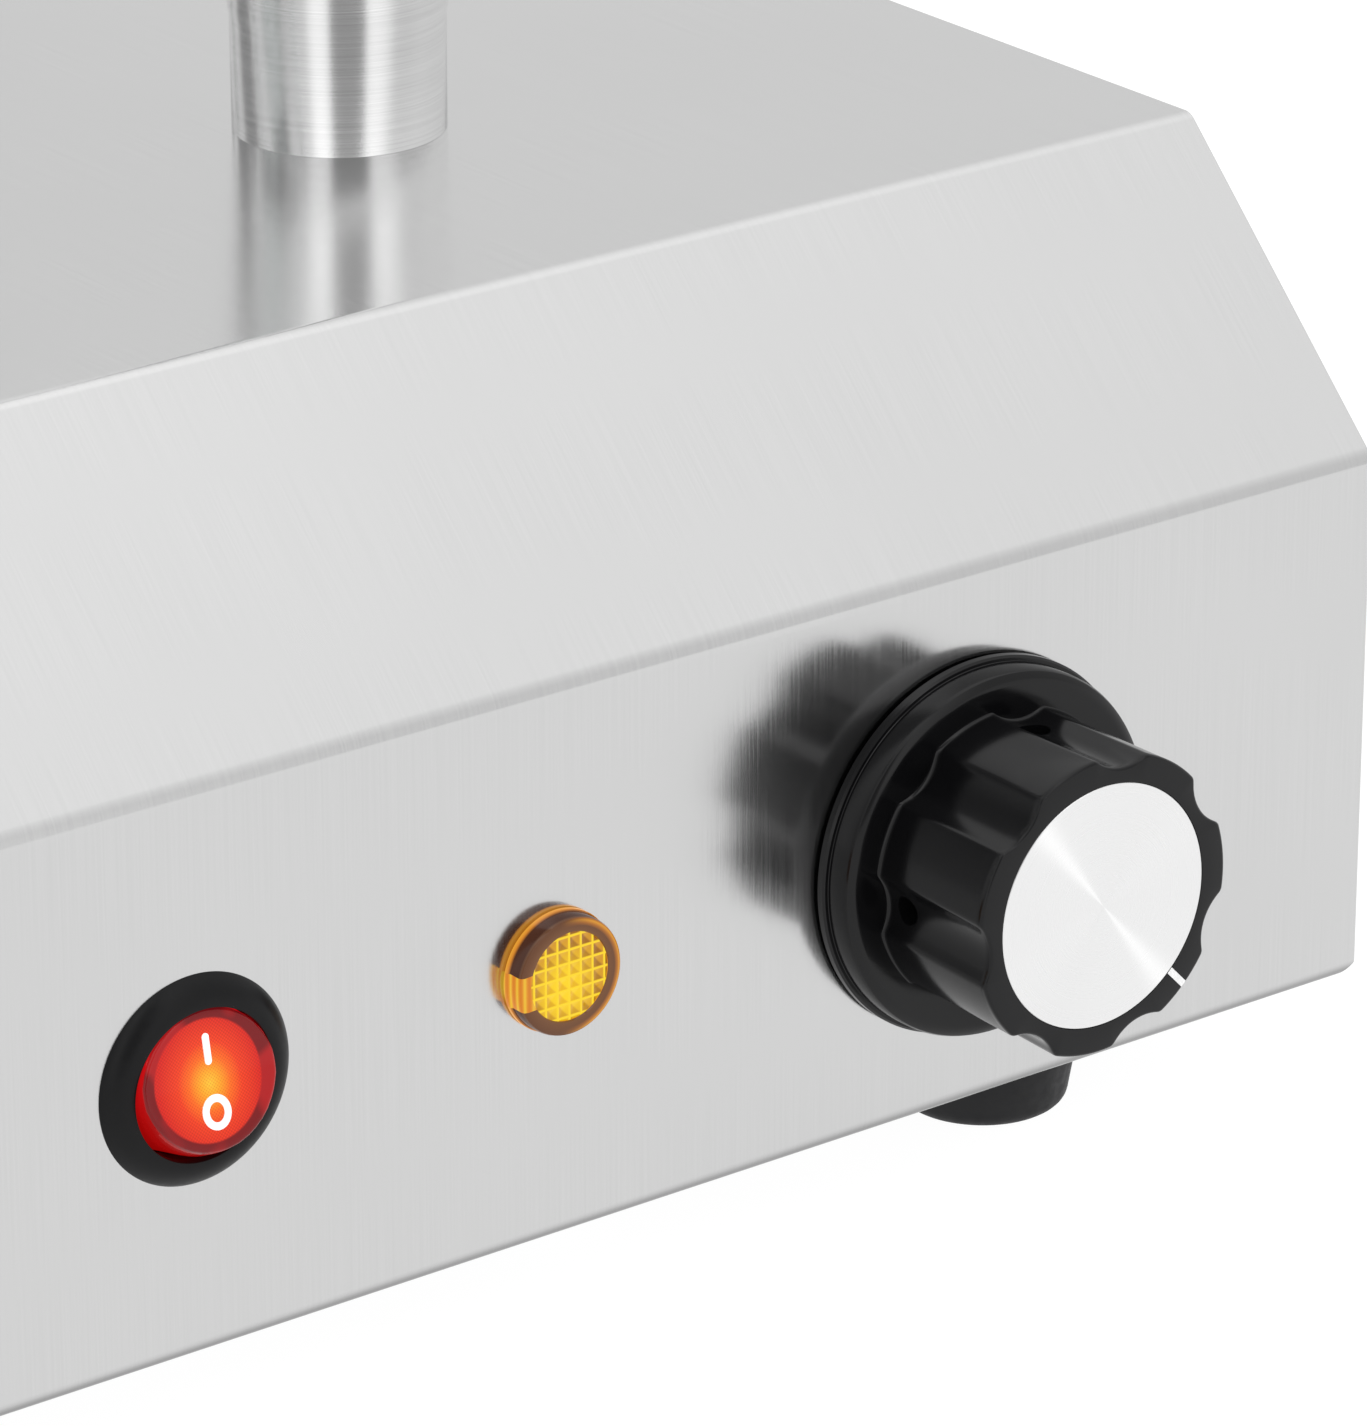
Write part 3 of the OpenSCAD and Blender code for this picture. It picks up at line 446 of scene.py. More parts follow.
# A small corner is nipped off the sheet at each end of the front's bottom edge, as relief for the bend.
nip_side = 2.83 * mm
for x in (body_low.x, body_high.x):
    nip = Matrix.Translation((x, front_y, base_z)) @ Matrix.Rotation(math.radians(45), 4, "Y")
    bmesh.ops.create_cube(punches, size=1, matrix=nip @ Matrix.Diagonal((nip_side, 30 * mm, nip_side, 1)))
cut_holes(housing, punches)
flat_first = housing.modifiers.new("flat_faces", "WEIGHTED_NORMAL")
flat_first.weight = 80
flat_first.keep_sharp = True
keep_modified(housing)


# ---- End panels ----
# A folded plate of the same steel closes each end of the shell, set in by the sheet's thickness.
# Its upper flange is spot-welded under the top plate.
def wear(material, *names):
    """CAD nodes keep their meshes and wear a material."""
    for name in names:
        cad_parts[name].data.materials.clear()
        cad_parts[name].data.materials.append(material)


wear(brushed_steel, "left_end_panel", "right_end_panel")


# ---- Bottom plate and its fixings ----
# A slotted plate of zinc-plated steel closes the body from below, held by eight pan-head screws.
# The same plated steel makes the nuts, washers, clips and brackets inside.
zinc_steel = grained("zinc_steel", (0.50, 0.51, 0.52), 0.38, (1, 0, 0), (0, 1, 1), fine=900, tint=0.06)
wear(zinc_steel, "bottom_plate", "bottom_screws", "foot_screws", "foot_nuts", "spike_washers", "spike_nuts",
     "pilot_clip", "thermostat_bracket", "thermostat_screws", "thermostat_spindle", "bulb_clips",
     "heater_bracket", "knob_grub_screws", "lid_screw")


# ---- Feet ----
# Four feet taper towards the table, each held by a screw up its middle.
# They are moulded in matt black rubber, with a round lower edge.
def plastic(name, colour, roughness, mottle=0.06, scale=900, relief=0.03, **inputs):
    """A moulded surface: plain colour, with a faint unevenness in its shade, gloss and relief."""
    inputs.setdefault("Specular_IOR_Level", 0.22)
    material = new_finish(name, colour, 0, roughness, **inputs)
    place = add_node(material, "ShaderNodeTexCoord")
    noise = add_node(material, "ShaderNodeTexNoise", Scale=scale, Detail=3.0)
    join(material, place.outputs["Object"], noise.inputs["Vector"])
    shade = ranged(material, noise.outputs["Fac"], 1 - mottle, 1 + mottle)
    feed(material, scaled(material, colour, shade), "Base Color")
    roughen(material, noise.outputs["Fac"], roughness * 0.85, roughness * 1.15)
    emboss(material, noise.outputs["Fac"], relief)
    return material


foot_rubber = plastic("foot_rubber", (0.012, 0.012, 0.013), 0.55)
foot_bore = 2.1 * mm
recess_radius = 4.5 * mm
recess_depth = 4 * mm
for node in feet:
    low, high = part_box(node)
    top_radius = (high.x - low.x) / 2
    tip_radius = top_radius - 1.5 * mm
    foot_top = high.z - 0.05 * mm
    profile = arc_outline([(foot_bore, recess_depth, 0), (recess_radius, recess_depth, 0),
                           (recess_radius, 0, 0.4 * mm), (tip_radius - 0.3 * mm, 0, 2 * mm),
                           (top_radius, foot_top, 0.4 * mm), (foot_bore, foot_top, 0),
                           (foot_bore, recess_depth, 0)], steps=6)
    foot = lathe(profile, ((low.x + high.x) / 2, (low.y + high.y) / 2, 0), steps=72)
    add_piece(node + "_rubber", foot, foot_rubber, "root", "foot_rubber", node)


# ---- Heated spikes ----
# Four aluminium tubes with blunt noses stand on the top plate, each over its own cartridge heater.
# They are turned and polished, so fine lines run round them. Their lowest 15 mm is a little thinner.
spike_aluminium = grained("spike_aluminium", (0.93, 0.93, 0.93), 0.17, (0, 0, 1), (1, 1, 0), fine=5200,
                          tint=0.08, rough_by=0.03, relief=0.003)
brush(spike_aluminium, 0.4, "Z")
tip_radius = 5 * mm
nose_height = 42 * mm
stub_radius = 10 * mm
heater_bore = 6.3 * mm
chamfer = 0.3 * mm
for node in spikes:
    low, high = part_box(node)
    radius = (high.x - low.x) / 2
    nose = []
    for i in range(17):
        angle = math.pi / 2 * i / 16
        nose.append((tip_radius * (1 - i / 16) + (radius - tip_radius) * math.cos(angle),
                     high.z - nose_height * (1 - math.sin(angle))))
    profile = [(heater_bore, low.z), (stub_radius - chamfer, low.z), (stub_radius, low.z + chamfer),
               (stub_radius, top_z)]
    profile += [(radius - 0.25 * mm, top_z), (radius - 0.2 * mm, top_z + 0.08 * mm),
                (radius - 0.2 * mm, top_z + 14 * mm), (radius, top_z + 15 * mm)]
    profile += nose[:-1] + [(0, high.z)]
    tube = lathe(profile, ((low.x + high.x) / 2, (low.y + high.y) / 2, 0), steps=128)
    add_piece(node + "_tube", tube, spike_aluminium, "root", "spike_aluminium", node)
heater_sheath = grained("heater_sheath", (0.16, 0.16, 0.165), 0.45, (0, 0, 1), (1, 1, 0), fine=1500)
wear(heater_sheath, "heater_front_left", "heater_front_right", "heater_rear_left", "heater_rear_right",
     "pan_heater")


# ---- Rocker switch ----
# A round black switch snaps into the panel. Its domed bezel rings a red translucent rocker, lit from inside.
# The rocker turns on two small pins. A grid moulded under its face spreads the light. Its marks are printed.
switch_black = plastic("switch_black", (0.006, 0.006, 0.0065), 0.34, Specular_IOR_Level=0.15)
wear(switch_black, "thermostat_body")


def arc(x, y, radius, degrees):
    """Outline points on a circle, one for each angle."""
    return [(x + radius * math.cos(math.radians(angle)), y + radius * math.sin(math.radians(angle)))
            for angle in degrees]


# The controls are built facing +Z and turned to face out of the front panel.
panel_turn = Matrix(((1, 0, 0), (0, 0, -1), (0, 1, 0)))
switch_at = Vector((switch_x, front_y, control_z))
bezel_profile = [(9.99 * mm, -14.9 * mm), (9.99 * mm, 0.05 * mm), (12.1 * mm, 0.05 * mm)]
bezel_profile += arc(9.05 * mm, -1.5 * mm, 3.5 * mm, range(26, 96, 5))
bezel_profile += [(8.86 * mm, 1.99 * mm), (8.8 * mm, 1.85 * mm), (8.8 * mm, 0.9 * mm), (9.25 * mm, 0.9 * mm),
                  (9.25 * mm, -11 * mm), (0, -11 * mm)]
bezel = lathe(bezel_profile, switch_at, panel_turn, steps=128)
add_piece("switch_bezel", bezel, switch_black, "root", "switch_black", "switch_body")
terminal_brass = grained("terminal_brass", (0.70, 0.50, 0.20), 0.3, (1, 0, 0), (0, 1, 1), fine=1200)
wear(terminal_brass, "switch_terminals", "terminal_screws", "earth_stud")

rest_tilt = math.radians(-14)
face = 4.7 * mm
swing = 9.0 * mm
rocker_radius = 8.45 * mm
mouth_radius = 8.68 * mm
face_end = math.sqrt(swing ** 2 - face ** 2)
dip = 0.4 * mm
rocker_turn = panel_turn @ Matrix.Rotation(rest_tilt, 3, "X")
pivot = switch_at + Vector((0, 1 * mm, 0))


def face_height(v):
    """Height of the rocker's face over its pivot: a shallow V, softened at the middle."""
    return face - dip + dip * (math.sqrt(v * v + (0.6 * mm) ** 2) - 0.6 * mm) / face_end


def rocker_reach(angle, w):
    """How far the rocker's side wall lies from its axis, at a height w over its pivot."""
    reach = rocker_radius
    for step in range(30):
        u, v = reach * math.cos(angle), reach * math.sin(angle)
        leaning = math.hypot(u, abs(v) * math.cos(rest_tilt) - w * math.sin(rest_tilt))
        if leaning <= mouth_radius and math.hypot(v, w) <= swing:
            break
        reach -= 0.04 * mm
    return reach


rocker_mesh = bmesh.new()
around = 120
turns = [math.tau * i / around for i in range(around)]
rings = []
for level in (-4, -3, -2, -1, 0, 1, 2, 3, 3.6, 4.0):
    reaches = [rocker_reach(a, level * mm) for a in turns]
    rings.append([(reach * math.cos(a), reach * math.sin(a), level * mm)
                  for a, reach in zip(turns, reaches)])
edge_radius = 0.45 * mm
for step in range(7):
    ease = math.radians(15 * step)
    ring = []
    for a in turns:
        reach = rocker_reach(a, face - 0.25 * mm) - edge_radius * (1 - math.cos(ease))
        u, v = reach * math.cos(a), reach * math.sin(a)
        ring.append((u, v, face_height(v) - edge_radius * (1 - math.sin(ease))))
    rings.append(ring)
outer = rings[-1]
for share in (0.93, 0.87, 0.8, 0.7, 0.6, 0.5, 0.4, 0.3, 0.2, 0.1):
    rings.append([(u * share, v * share, face_height(v * share)) for u, v, w in outer])


def skin(mesh, rings, origin, turned):
    """Faces over rings of as many points each, stacked along a piece's axis, with a lid on both ends."""
    made = [[mesh.verts.new(origin + turned @ Vector(p)) for p in ring] for ring in rings]
    for low_ring, high_ring in zip(made, made[1:]):
        for i in range(len(low_ring)):
            j = (i + 1) % len(low_ring)
            mesh.faces.new((low_ring[i], low_ring[j], high_ring[j], high_ring[i]))
    mesh.faces.new(made[-1])
    mesh.faces.new(reversed(made[0]))


skin(rocker_mesh, rings, pivot, rocker_turn)

# The lamp glows yellow behind the middle of the grid, orange round it, and deep red at the clear rim.
rocker_red = new_finish("rocker_red", (0.10, 0.002, 0.002), 0, 0.14, Specular_IOR_Level=0.25,
                        Emission_Strength=0.95)


def local_axes(material, origin, turned):
    """Coordinates in a piece's own frame, in millimetres: three sockets."""
    place = add_node(material, "ShaderNodeTexCoord")
    moved = add_node(material, "ShaderNodeVectorMath", operation="SUBTRACT")
    moved.inputs[1].default_value = origin
    join(material, place.outputs["Object"], moved.inputs[0])
    sockets = []
    for column in range(3):
        dot = add_node(material, "ShaderNodeVectorMath", operation="DOT_PRODUCT")
        dot.inputs[1].default_value = [turned[row][column] * 1000 for row in range(3)]
        join(material, moved.outputs["Vector"], dot.inputs[0])
        sockets.append(dot.outputs["Value"])
    return sockets


def radius_of(material, u, v, du=0.0, dv=0.0, squeeze=1.0):
    x = do_math(material, "ADD", u, -du)
    y = do_math(material, "MULTIPLY", do_math(material, "ADD", v, -dv), squeeze)
    return do_math(material, "SQRT", do_math(material, "ADD", do_math(material, "MULTIPLY", x, x),
                                             do_math(material, "MULTIPLY", y, y)))


def colours_over(material, value, low, high, stops):
    """Colours over a value that runs from low to high."""
    spread = add_node(material, "ShaderNodeMapRange", From_Min=low, From_Max=high)
    join(material, value, spread.inputs["Value"])
    return colour_ramp(material, spread.outputs["Result"],
                       [((place - low) / (high - low), colour) for place, colour in stops])


u, v, w = local_axes(rocker_red, pivot, rocker_turn)
glow_distance = radius_of(rocker_red, u, v, -0.2, -0.3, 0.86)
glow = colours_over(rocker_red, glow_distance, 0, 7, [
    (0, (1.0, 0.60, 0.04)), (1.2, (1.0, 0.42, 0.02)), (2.6, (0.98, 0.17, 0.012)),
    (4.0, (0.84, 0.055, 0.010)), (6.5, (0.64, 0.016, 0.008))])
grid_lines = 15.0
grid_u = do_math(rocker_red, "SINE", do_math(rocker_red, "MULTIPLY", u, grid_lines))
grid_v = do_math(rocker_red, "SINE", do_math(rocker_red, "MULTIPLY", v, grid_lines))
grid = do_math(rocker_red, "MULTIPLY_ADD", do_math(rocker_red, "MULTIPLY", grid_u, grid_v), 0.22, 0.95)
patches = add_node(rocker_red, "ShaderNodeTexNoise", Scale=170.0, Detail=0.5)
join(rocker_red, add_node(rocker_red, "ShaderNodeTexCoord").outputs["Object"], patches.inputs["Vector"])
patch_share = smooth_step(rocker_red, patches.outputs["Fac"], 0.44, 0.56)
rim = blend_colours(rocker_red, patch_share, (0.10, 0.004, 0.006), (0.36, 0.008, 0.010))
centre_distance = radius_of(rocker_red, u, v, -0.35, 0.1)
top_colour = blend_colours(rocker_red, smooth_step(rocker_red, centre_distance, 6.6, 6.9),
                           scaled(rocker_red, glow, grid), rim)
wall = colours_over(rocker_red, v, -9, 9, [(-9, (0.24, 0.001, 0.001)), (-3, (0.34, 0.002, 0.002)),
                                          (2, (0.50, 0.004, 0.006)), (9, (0.60, 0.006, 0.008))])
red_light = blend_colours(rocker_red, smooth_step(rocker_red, w, 3.95, 4.2), wall, top_colour)
feed(rocker_red, red_light, "Emission Color")
add_piece("rocker_moulding", rocker_mesh, rocker_red, "rocker", "rocker_red", "rocker", smooth=50)


def flat_piece(outer_outline, inner_outline, low_height, high_height, origin, turned):
    """A plate between an outline and a hole of as many points, or without a hole, raised off a plane."""
    mesh = bmesh.new()
    sides = []
    for outline in (outer_outline, inner_outline):
        if outline:
            sides.append([[mesh.verts.new(Vector(origin) + turned @ Vector((x, y, z))) for x, y in outline]
                          for z in (low_height, high_height)])
    for low_side, high_side in sides:
        for i in range(len(low_side)):
            j = (i + 1) % len(low_side)
            mesh.faces.new((low_side[i], low_side[j], high_side[j], high_side[i]))
    if len(sides) == 1:
        mesh.faces.new(sides[0][0])
        mesh.faces.new(sides[0][1])
    else:
        for z in (0, 1):
            for i in range(len(outer_outline)):
                j = (i + 1) % len(outer_outline)
                mesh.faces.new((sides[0][z][i], sides[0][z][j], sides[1][z][j], sides[1][z][i]))
    return mesh


def oval(half_wide, half_tall, steps=48):
    return [(half_wide * math.cos(math.tau * i / steps), half_tall * math.sin(math.tau * i / steps))
            for i in range(steps)]


mark_white = plastic("mark_white", (0.86, 0.84, 0.83), 0.45, Emission_Color=(1, 0.93, 0.9, 1),
                     Emission_Strength=0.25)
face_lean = math.atan2(dip, face_end)
mark_from = 3.5 * mm
bar_end = 1.33 * mm
on_bar = [(x, y + math.copysign(bar_end, y)) for x, y in arc(0, 0, 0.425 * mm, range(5, 360, 10))]
for name, side, outside, inside in (
        ("mark_on", 1, on_bar, []),
        ("mark_off", -1, oval(1.8 * mm, 1.95 * mm), oval(0.95 * mm, 1.1 * mm))):
    seat = rocker_turn @ Matrix.Rotation(side * face_lean, 3, "X")
    origin = pivot + rocker_turn @ Vector((0, 0, face - dip))
    raised = flat_piece([(x, y + side * mark_from) for x, y in outside],
                        [(x, y + side * mark_from) for x, y in inside],
                        -0.05 * mm, 0.08 * mm, origin, seat)
    piece = add_piece(name, raised, mark_white, "rocker", "mark_white")
    if side > 0:
        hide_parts("rocker_marks")


# ---- Pilot lamp ----
# An amber lens snaps into the panel over a small neon lamp. Pyramids moulded in its window catch the light.
# Its rim and flange are clear amber, brown where they look into the dark panel hole.
lamp_at = Vector((lamp_x, front_y, control_z))
lens_amber = new_finish("lens_amber", (0.03, 0.010, 0.004), 0, 0.1, Specular_IOR_Level=0.3,
                        Emission_Strength=0.8)
lens_low, lens_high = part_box("pilot_lens")
lens_radius = (lens_high.x - lens_low.x) / 2
lens_out = front_y - lens_low.y
window_radius = 5.25 * mm
cell = 1.6 * mm
lens_profile = [(6.2 * mm, -11.9 * mm), (6.2 * mm, 0.05 * mm), (lens_radius - 0.2 * mm, 0.05 * mm),
                (lens_radius, 0.25 * mm), (lens_radius, 0.75 * mm), (lens_radius - 0.22 * mm, 0.95 * mm),
                (lens_radius - 0.22 * mm, lens_out - 0.5 * mm),
                (lens_radius - 0.35 * mm, lens_out - 0.15 * mm),
                (lens_radius - 0.75 * mm, lens_out), (window_radius + 0.1 * mm, lens_out - 0.12 * mm),
                (window_radius, lens_out - 0.3 * mm)]
lens = lathe(lens_profile, lamp_at, panel_turn, steps=96)
u, v, w = local_axes(lens_amber, lamp_at, panel_turn)
from_centre = radius_of(lens_amber, u, v)
# Painted highlight: on the right side of the face the rim carries a bright orange ring; elsewhere it stays
# plain.
annulus_and_painted_highlight = colours_over(lens_amber, from_centre, 5, 7.4, [
    (5.0, (0.20, 0.085, 0.030)), (6.0, (0.15, 0.060, 0.022)), (6.35, (0.50, 0.17, 0.015)),
    (6.65, (0.85, 0.36, 0.02)), (6.9, (0.35, 0.10, 0.008)), (7.3, (0.16, 0.04, 0.006))])
right_side_highlight_share = smooth_step(lens_amber, u, -1.5, 3.5)
plain_annulus = colours_over(lens_amber, from_centre, 5, 7.4, [(5.0, (0.20, 0.085, 0.030)),
                                                              (7.3, (0.10, 0.035, 0.012))])
front_colour_and_highlight = blend_colours(lens_amber, right_side_highlight_share, plain_annulus, annulus_and_painted_highlight)
# Up the side wall the colour runs from bright orange at the flange through dark brown to a painted highlight
# at the front edge.
side_colour_and_edge_highlight = colours_over(lens_amber, w, 0, 3, [
    (0.0, (0.75, 0.24, 0.01)), (0.35, (0.95, 0.42, 0.03)), (0.75, (0.80, 0.28, 0.02)),
    (0.95, (0.05, 0.012, 0.004)), (2.4, (0.04, 0.010, 0.004)), (2.9, (0.20, 0.10, 0.05))])
face_w = lens_out / mm
lens_colour = blend_colours(lens_amber, smooth_step(lens_amber, w, face_w - 0.35, face_w - 0.2),
                            side_colour_and_edge_highlight, front_colour_and_highlight)
# The moulding's gate leaves a bright ribbed strip from the window to the rim.
strip = do_math(lens_amber, "MULTIPLY", do_math(lens_amber, "LESS_THAN", u, -4.6),
                do_math(lens_amber, "LESS_THAN", do_math(lens_amber, "ABSOLUTE", do_math(
                    lens_amber, "ADD", v, 0.6)), 2.1))
ribs = do_math(lens_amber, "SINE", do_math(lens_amber, "MULTIPLY", do_math(lens_amber, "ADD", u, w), 5.2))
rib_colour = colours_over(lens_amber, ribs, -1, 1, [(-1, (0.80, 0.24, 0.005)), (0.2, (0.92, 0.36, 0.01)),
                                                   (1, (1.0, 0.60, 0.03))])
lens_light = blend_colours(lens_amber, strip, lens_colour, rib_colour)
feed(lens_amber, lens_light, "Emission Color")
add_piece("lamp_lens", lens, lens_amber, "root", "lens_amber", "pilot_lens")

window_amber = new_finish("window_amber", (0.10, 0.05, 0.004), 0, 0.12, Specular_IOR_Level=0.3,
                          Emission_Strength=0.9)
window = bmesh.new()
steps = 6
count = int(2 * window_radius / cell * steps) + 2
grid_points = {}
for i in range(count + 1):
    for j in range(count + 1):
        x = -window_radius + 2 * window_radius * i / count
        y = -window_radius + 2 * window_radius * j / count
        span = max(abs(x), abs(y)) / max(1e-9, math.hypot(x, y))
        x, y = x * span, y * span
        in_x = abs((x / cell) % 1 - 0.5)
        in_y = abs((y / cell) % 1 - 0.5)
        rise = lens_out - 0.45 * mm + 0.6 * mm * (max(in_x, in_y) - 0.25)
        grid_points[i, j] = window.verts.new(lamp_at + panel_turn @ Vector((x, y, rise)))
for i in range(count):
    for j in range(count):
        window.faces.new((grid_points[i, j], grid_points[i + 1, j], grid_points[i + 1, j + 1],
                          grid_points[i, j + 1]))
u, v, w = local_axes(window_amber, lamp_at, panel_turn)


def place_in_cell(value):
    """How far a place lies from the middle of its pyramid, as a share of the pyramid's width."""
    cells = do_math(window_amber, "MULTIPLY", value, mm / cell)
    return do_math(window_amber, "SUBTRACT", do_math(window_amber, "FRACT", cells), 0.5)


cell_u = place_in_cell(u)
cell_v = place_in_cell(v)
far = do_math(window_amber, "MAXIMUM", do_math(window_amber, "ABSOLUTE", cell_u),
              do_math(window_amber, "ABSOLUTE", cell_v))
# Painted light and shade: one half of each pyramid is painted lit and the other shaded, and its ridges are
# painted as bright highlights.
lit_facet_share = smooth_step(window_amber, do_math(window_amber, "ADD", do_math(
    window_amber, "MULTIPLY", cell_v, 0.9), cell_u), -0.12, 0.12)
hot = do_math(window_amber, "SUBTRACT", 1.0, smooth_step(window_amber, radius_of(
    window_amber, u, v, -0.6, -1.4, 0.9), 0.8, 6.0))
shade_facet = blend_colours(window_amber, hot, (0.27, 0.09, 0.006), (0.82, 0.48, 0.004))
light_facet = blend_colours(window_amber, hot, (0.60, 0.27, 0.010), (0.98, 0.68, 0.006))
lit_and_shaded_facets = blend_colours(window_amber, lit_facet_share, shade_facet, light_facet)
ridge_highlight_share = smooth_step(window_amber, far, 0.36, 0.46)
window_light = blend_colours(window_amber, ridge_highlight_share, lit_and_shaded_facets, (0.98, 0.70, 0.01))
feed(window_amber, window_light, "Emission Color")
add_piece("lamp_window", window, window_amber, "root", "lens_amber", smooth=20)
ceramic_white = plastic("ceramic_white", (0.72, 0.70, 0.64), 0.6)
wear(ceramic_white, "pilot_body", "thermal_cutout", "terminal_block")


# ---- Thermostat knob ----
# A glossy black phenolic knob pushes onto the thermostat's spindle and is held by two grub screws.
# Seven flutes run down to a stepped skirt. A spun aluminium disc is glued in its face, by a white pointer.
knob_black = plastic("knob_black", (0.004, 0.004, 0.0045), 0.16, scale=160, relief=0.06,
                     Specular_IOR_Level=0.25)
knob_at = Vector((knob_x, front_y, control_z))
knob_low, knob_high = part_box("knob")
skirt_radius = (knob_high.x - knob_low.x) / 2
knob_face = front_y - knob_low.y
disc_low, disc_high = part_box("knob_disc")
disc_radius = (disc_high.x - disc_low.x) / 2
lobe_radius = 18 * mm
flute_radius = 6.3 * mm
flute_from = lobe_radius - 1.6 * mm + flute_radius
pointer_angle = math.radians(-46.3)


def lobed(angle, grow):
    """The knob's outline: a circle cut by seven round flutes, its edges rounded off."""
    lobe = (angle - pointer_angle) % (math.tau / 7) - math.pi / 7
    inside = flute_radius ** 2 - (flute_from * math.sin(lobe)) ** 2
    cut = flute_from * math.cos(lobe) - math.sqrt(inside) if inside > 0 else 1.0
    sharp = 0.13 * mm
    return -sharp * math.log(math.exp(-lobe_radius / sharp) + math.exp(-min(cut, 0.03) / sharp)) + grow


knob_turns = [pointer_angle + math.tau * i / 336 for i in range(336)]
levels = []
for i in range(7):
    lean = math.radians(90 * i / 6)
    levels.append((5.0 * mm + 0.9 * mm * (1 - math.cos(lean)), 0.8 * mm * (1 - math.sin(lean)) - 0.35 * mm))
levels += [(8 * mm, -0.33 * mm), (14 * mm, -0.2 * mm), (knob_face - 1 * mm, -0.02 * mm),
           (knob_face - 0.4 * mm, 0), (knob_face - 0.18 * mm, -0.06 * mm),
           (knob_face - 0.04 * mm, -0.2 * mm), (knob_face, -0.4 * mm)]
rings = [[(lobed(a, grow) * math.cos(a), lobed(a, grow) * math.sin(a), z) for a in knob_turns]
         for z, grow in levels]
for z in (knob_face, knob_face - 0.5 * mm):
    rings.append([(disc_radius * math.cos(a), disc_radius * math.sin(a), z) for a in knob_turns])
knob_mesh = bmesh.new()
skin(knob_mesh, rings, knob_at, panel_turn)
knob_body = add_piece("knob_body", knob_mesh, knob_black, "knob", "knob_black", "knob", smooth=40)
grub_holes = bmesh.new()
for flute in (2, 4):
    angle = pointer_angle + (flute + 0.5) * math.tau / 7
    outwards = panel_turn @ Vector((math.cos(angle), math.sin(angle), 0))
    centre = knob_at + panel_turn @ Vector((0, 0, 8.6 * mm)) + outwards * 15 * mm
    drill(grub_holes, centre, outwards, 1.75 * mm, through, steps=32)
cut_holes(knob_body, grub_holes)

skirt_profile = [(5 * mm, 0.45 * mm), (skirt_radius - 0.25 * mm, 0.4 * mm), (skirt_radius, 0.65 * mm),
                 (skirt_radius, 1.45 * mm), (skirt_radius - 0.25 * mm, 1.7 * mm),
                 (skirt_radius - 0.6 * mm, 1.72 * mm), (skirt_radius - 0.65 * mm, 1.8 * mm),
                 (skirt_radius - 0.65 * mm, 4.5 * mm), (skirt_radius - 0.85 * mm, 4.95 * mm),
                 (skirt_radius - 1.4 * mm, 5.3 * mm), (skirt_radius - 2.2 * mm, 5.4 * mm),
                 (skirt_radius - 4 * mm, 5.2 * mm), (12 * mm, 5.1 * mm)]
skirt = lathe(skirt_profile, knob_at, panel_turn, steps=160)
add_piece("knob_skirt", skirt, knob_black, "knob", "knob_black", smooth=28)

disc_aluminium = new_finish("disc_aluminium", (0.82, 0.82, 0.82), 1.0, 0.3)
brush(disc_aluminium, 0.7, "Y")
u, v, w = local_axes(disc_aluminium, knob_at, panel_turn)
# Painted highlight: a narrow bright ray across the spun disc is painted into its colour.
ray_highlight_alignment = do_math(disc_aluminium, "ABSOLUTE", do_math(disc_aluminium, "COSINE", do_math(
    disc_aluminium, "ADD", do_math(disc_aluminium, "ARCTAN2", v, u), 0.9)))
painted_ray_highlight = do_math(disc_aluminium, "POWER", ray_highlight_alignment, 150.0)
disc_colour_and_painted_ray = blend_colours(disc_aluminium, painted_ray_highlight, (0.785, 0.785, 0.785), (0.90, 0.90, 0.90))
feed(disc_aluminium, disc_colour_and_painted_ray, "Base Color")
rings_of = add_node(disc_aluminium, "ShaderNodeTexNoise", noise_dimensions="1D", Scale=9.0, Detail=4.0)
join(disc_aluminium, radius_of(disc_aluminium, u, v), rings_of.inputs["W"])
roughen(disc_aluminium, rings_of.outputs["Fac"], 0.26, 0.34)
emboss(disc_aluminium, rings_of.outputs["Fac"], 0.015)
disc_profile = [(0, -0.5 * mm), (disc_radius - 0.03 * mm, -0.5 * mm), (disc_radius - 0.03 * mm, -0.08 * mm),
                (disc_radius - 0.12 * mm, 0), (0, 0)]
disc = lathe(disc_profile, knob_at + panel_turn @ Vector((0, 0, knob_face)), panel_turn, steps=160)
add_piece("knob_face_disc", disc, disc_aluminium, "knob", "disc_aluminium", "knob_disc", smooth=30)
pointer_end = lobe_radius - 0.25 * mm
half_line = 0.42 * mm
pointer_outline = [(disc_radius, -half_line), (pointer_end, -half_line), (pointer_end, half_line),
                   (disc_radius, half_line)]
pointer = flat_piece(pointer_outline, None, knob_face - 0.4 * mm, knob_face + 0.005 * mm, knob_at,
                     panel_turn @ Matrix.Rotation(pointer_angle, 3, "Z"))
pointer_white = plastic("pointer_white", (0.88, 0.88, 0.88), 0.5)
add_piece("pointer_line", pointer, pointer_white, "knob", "mark_white", "knob_pointer")


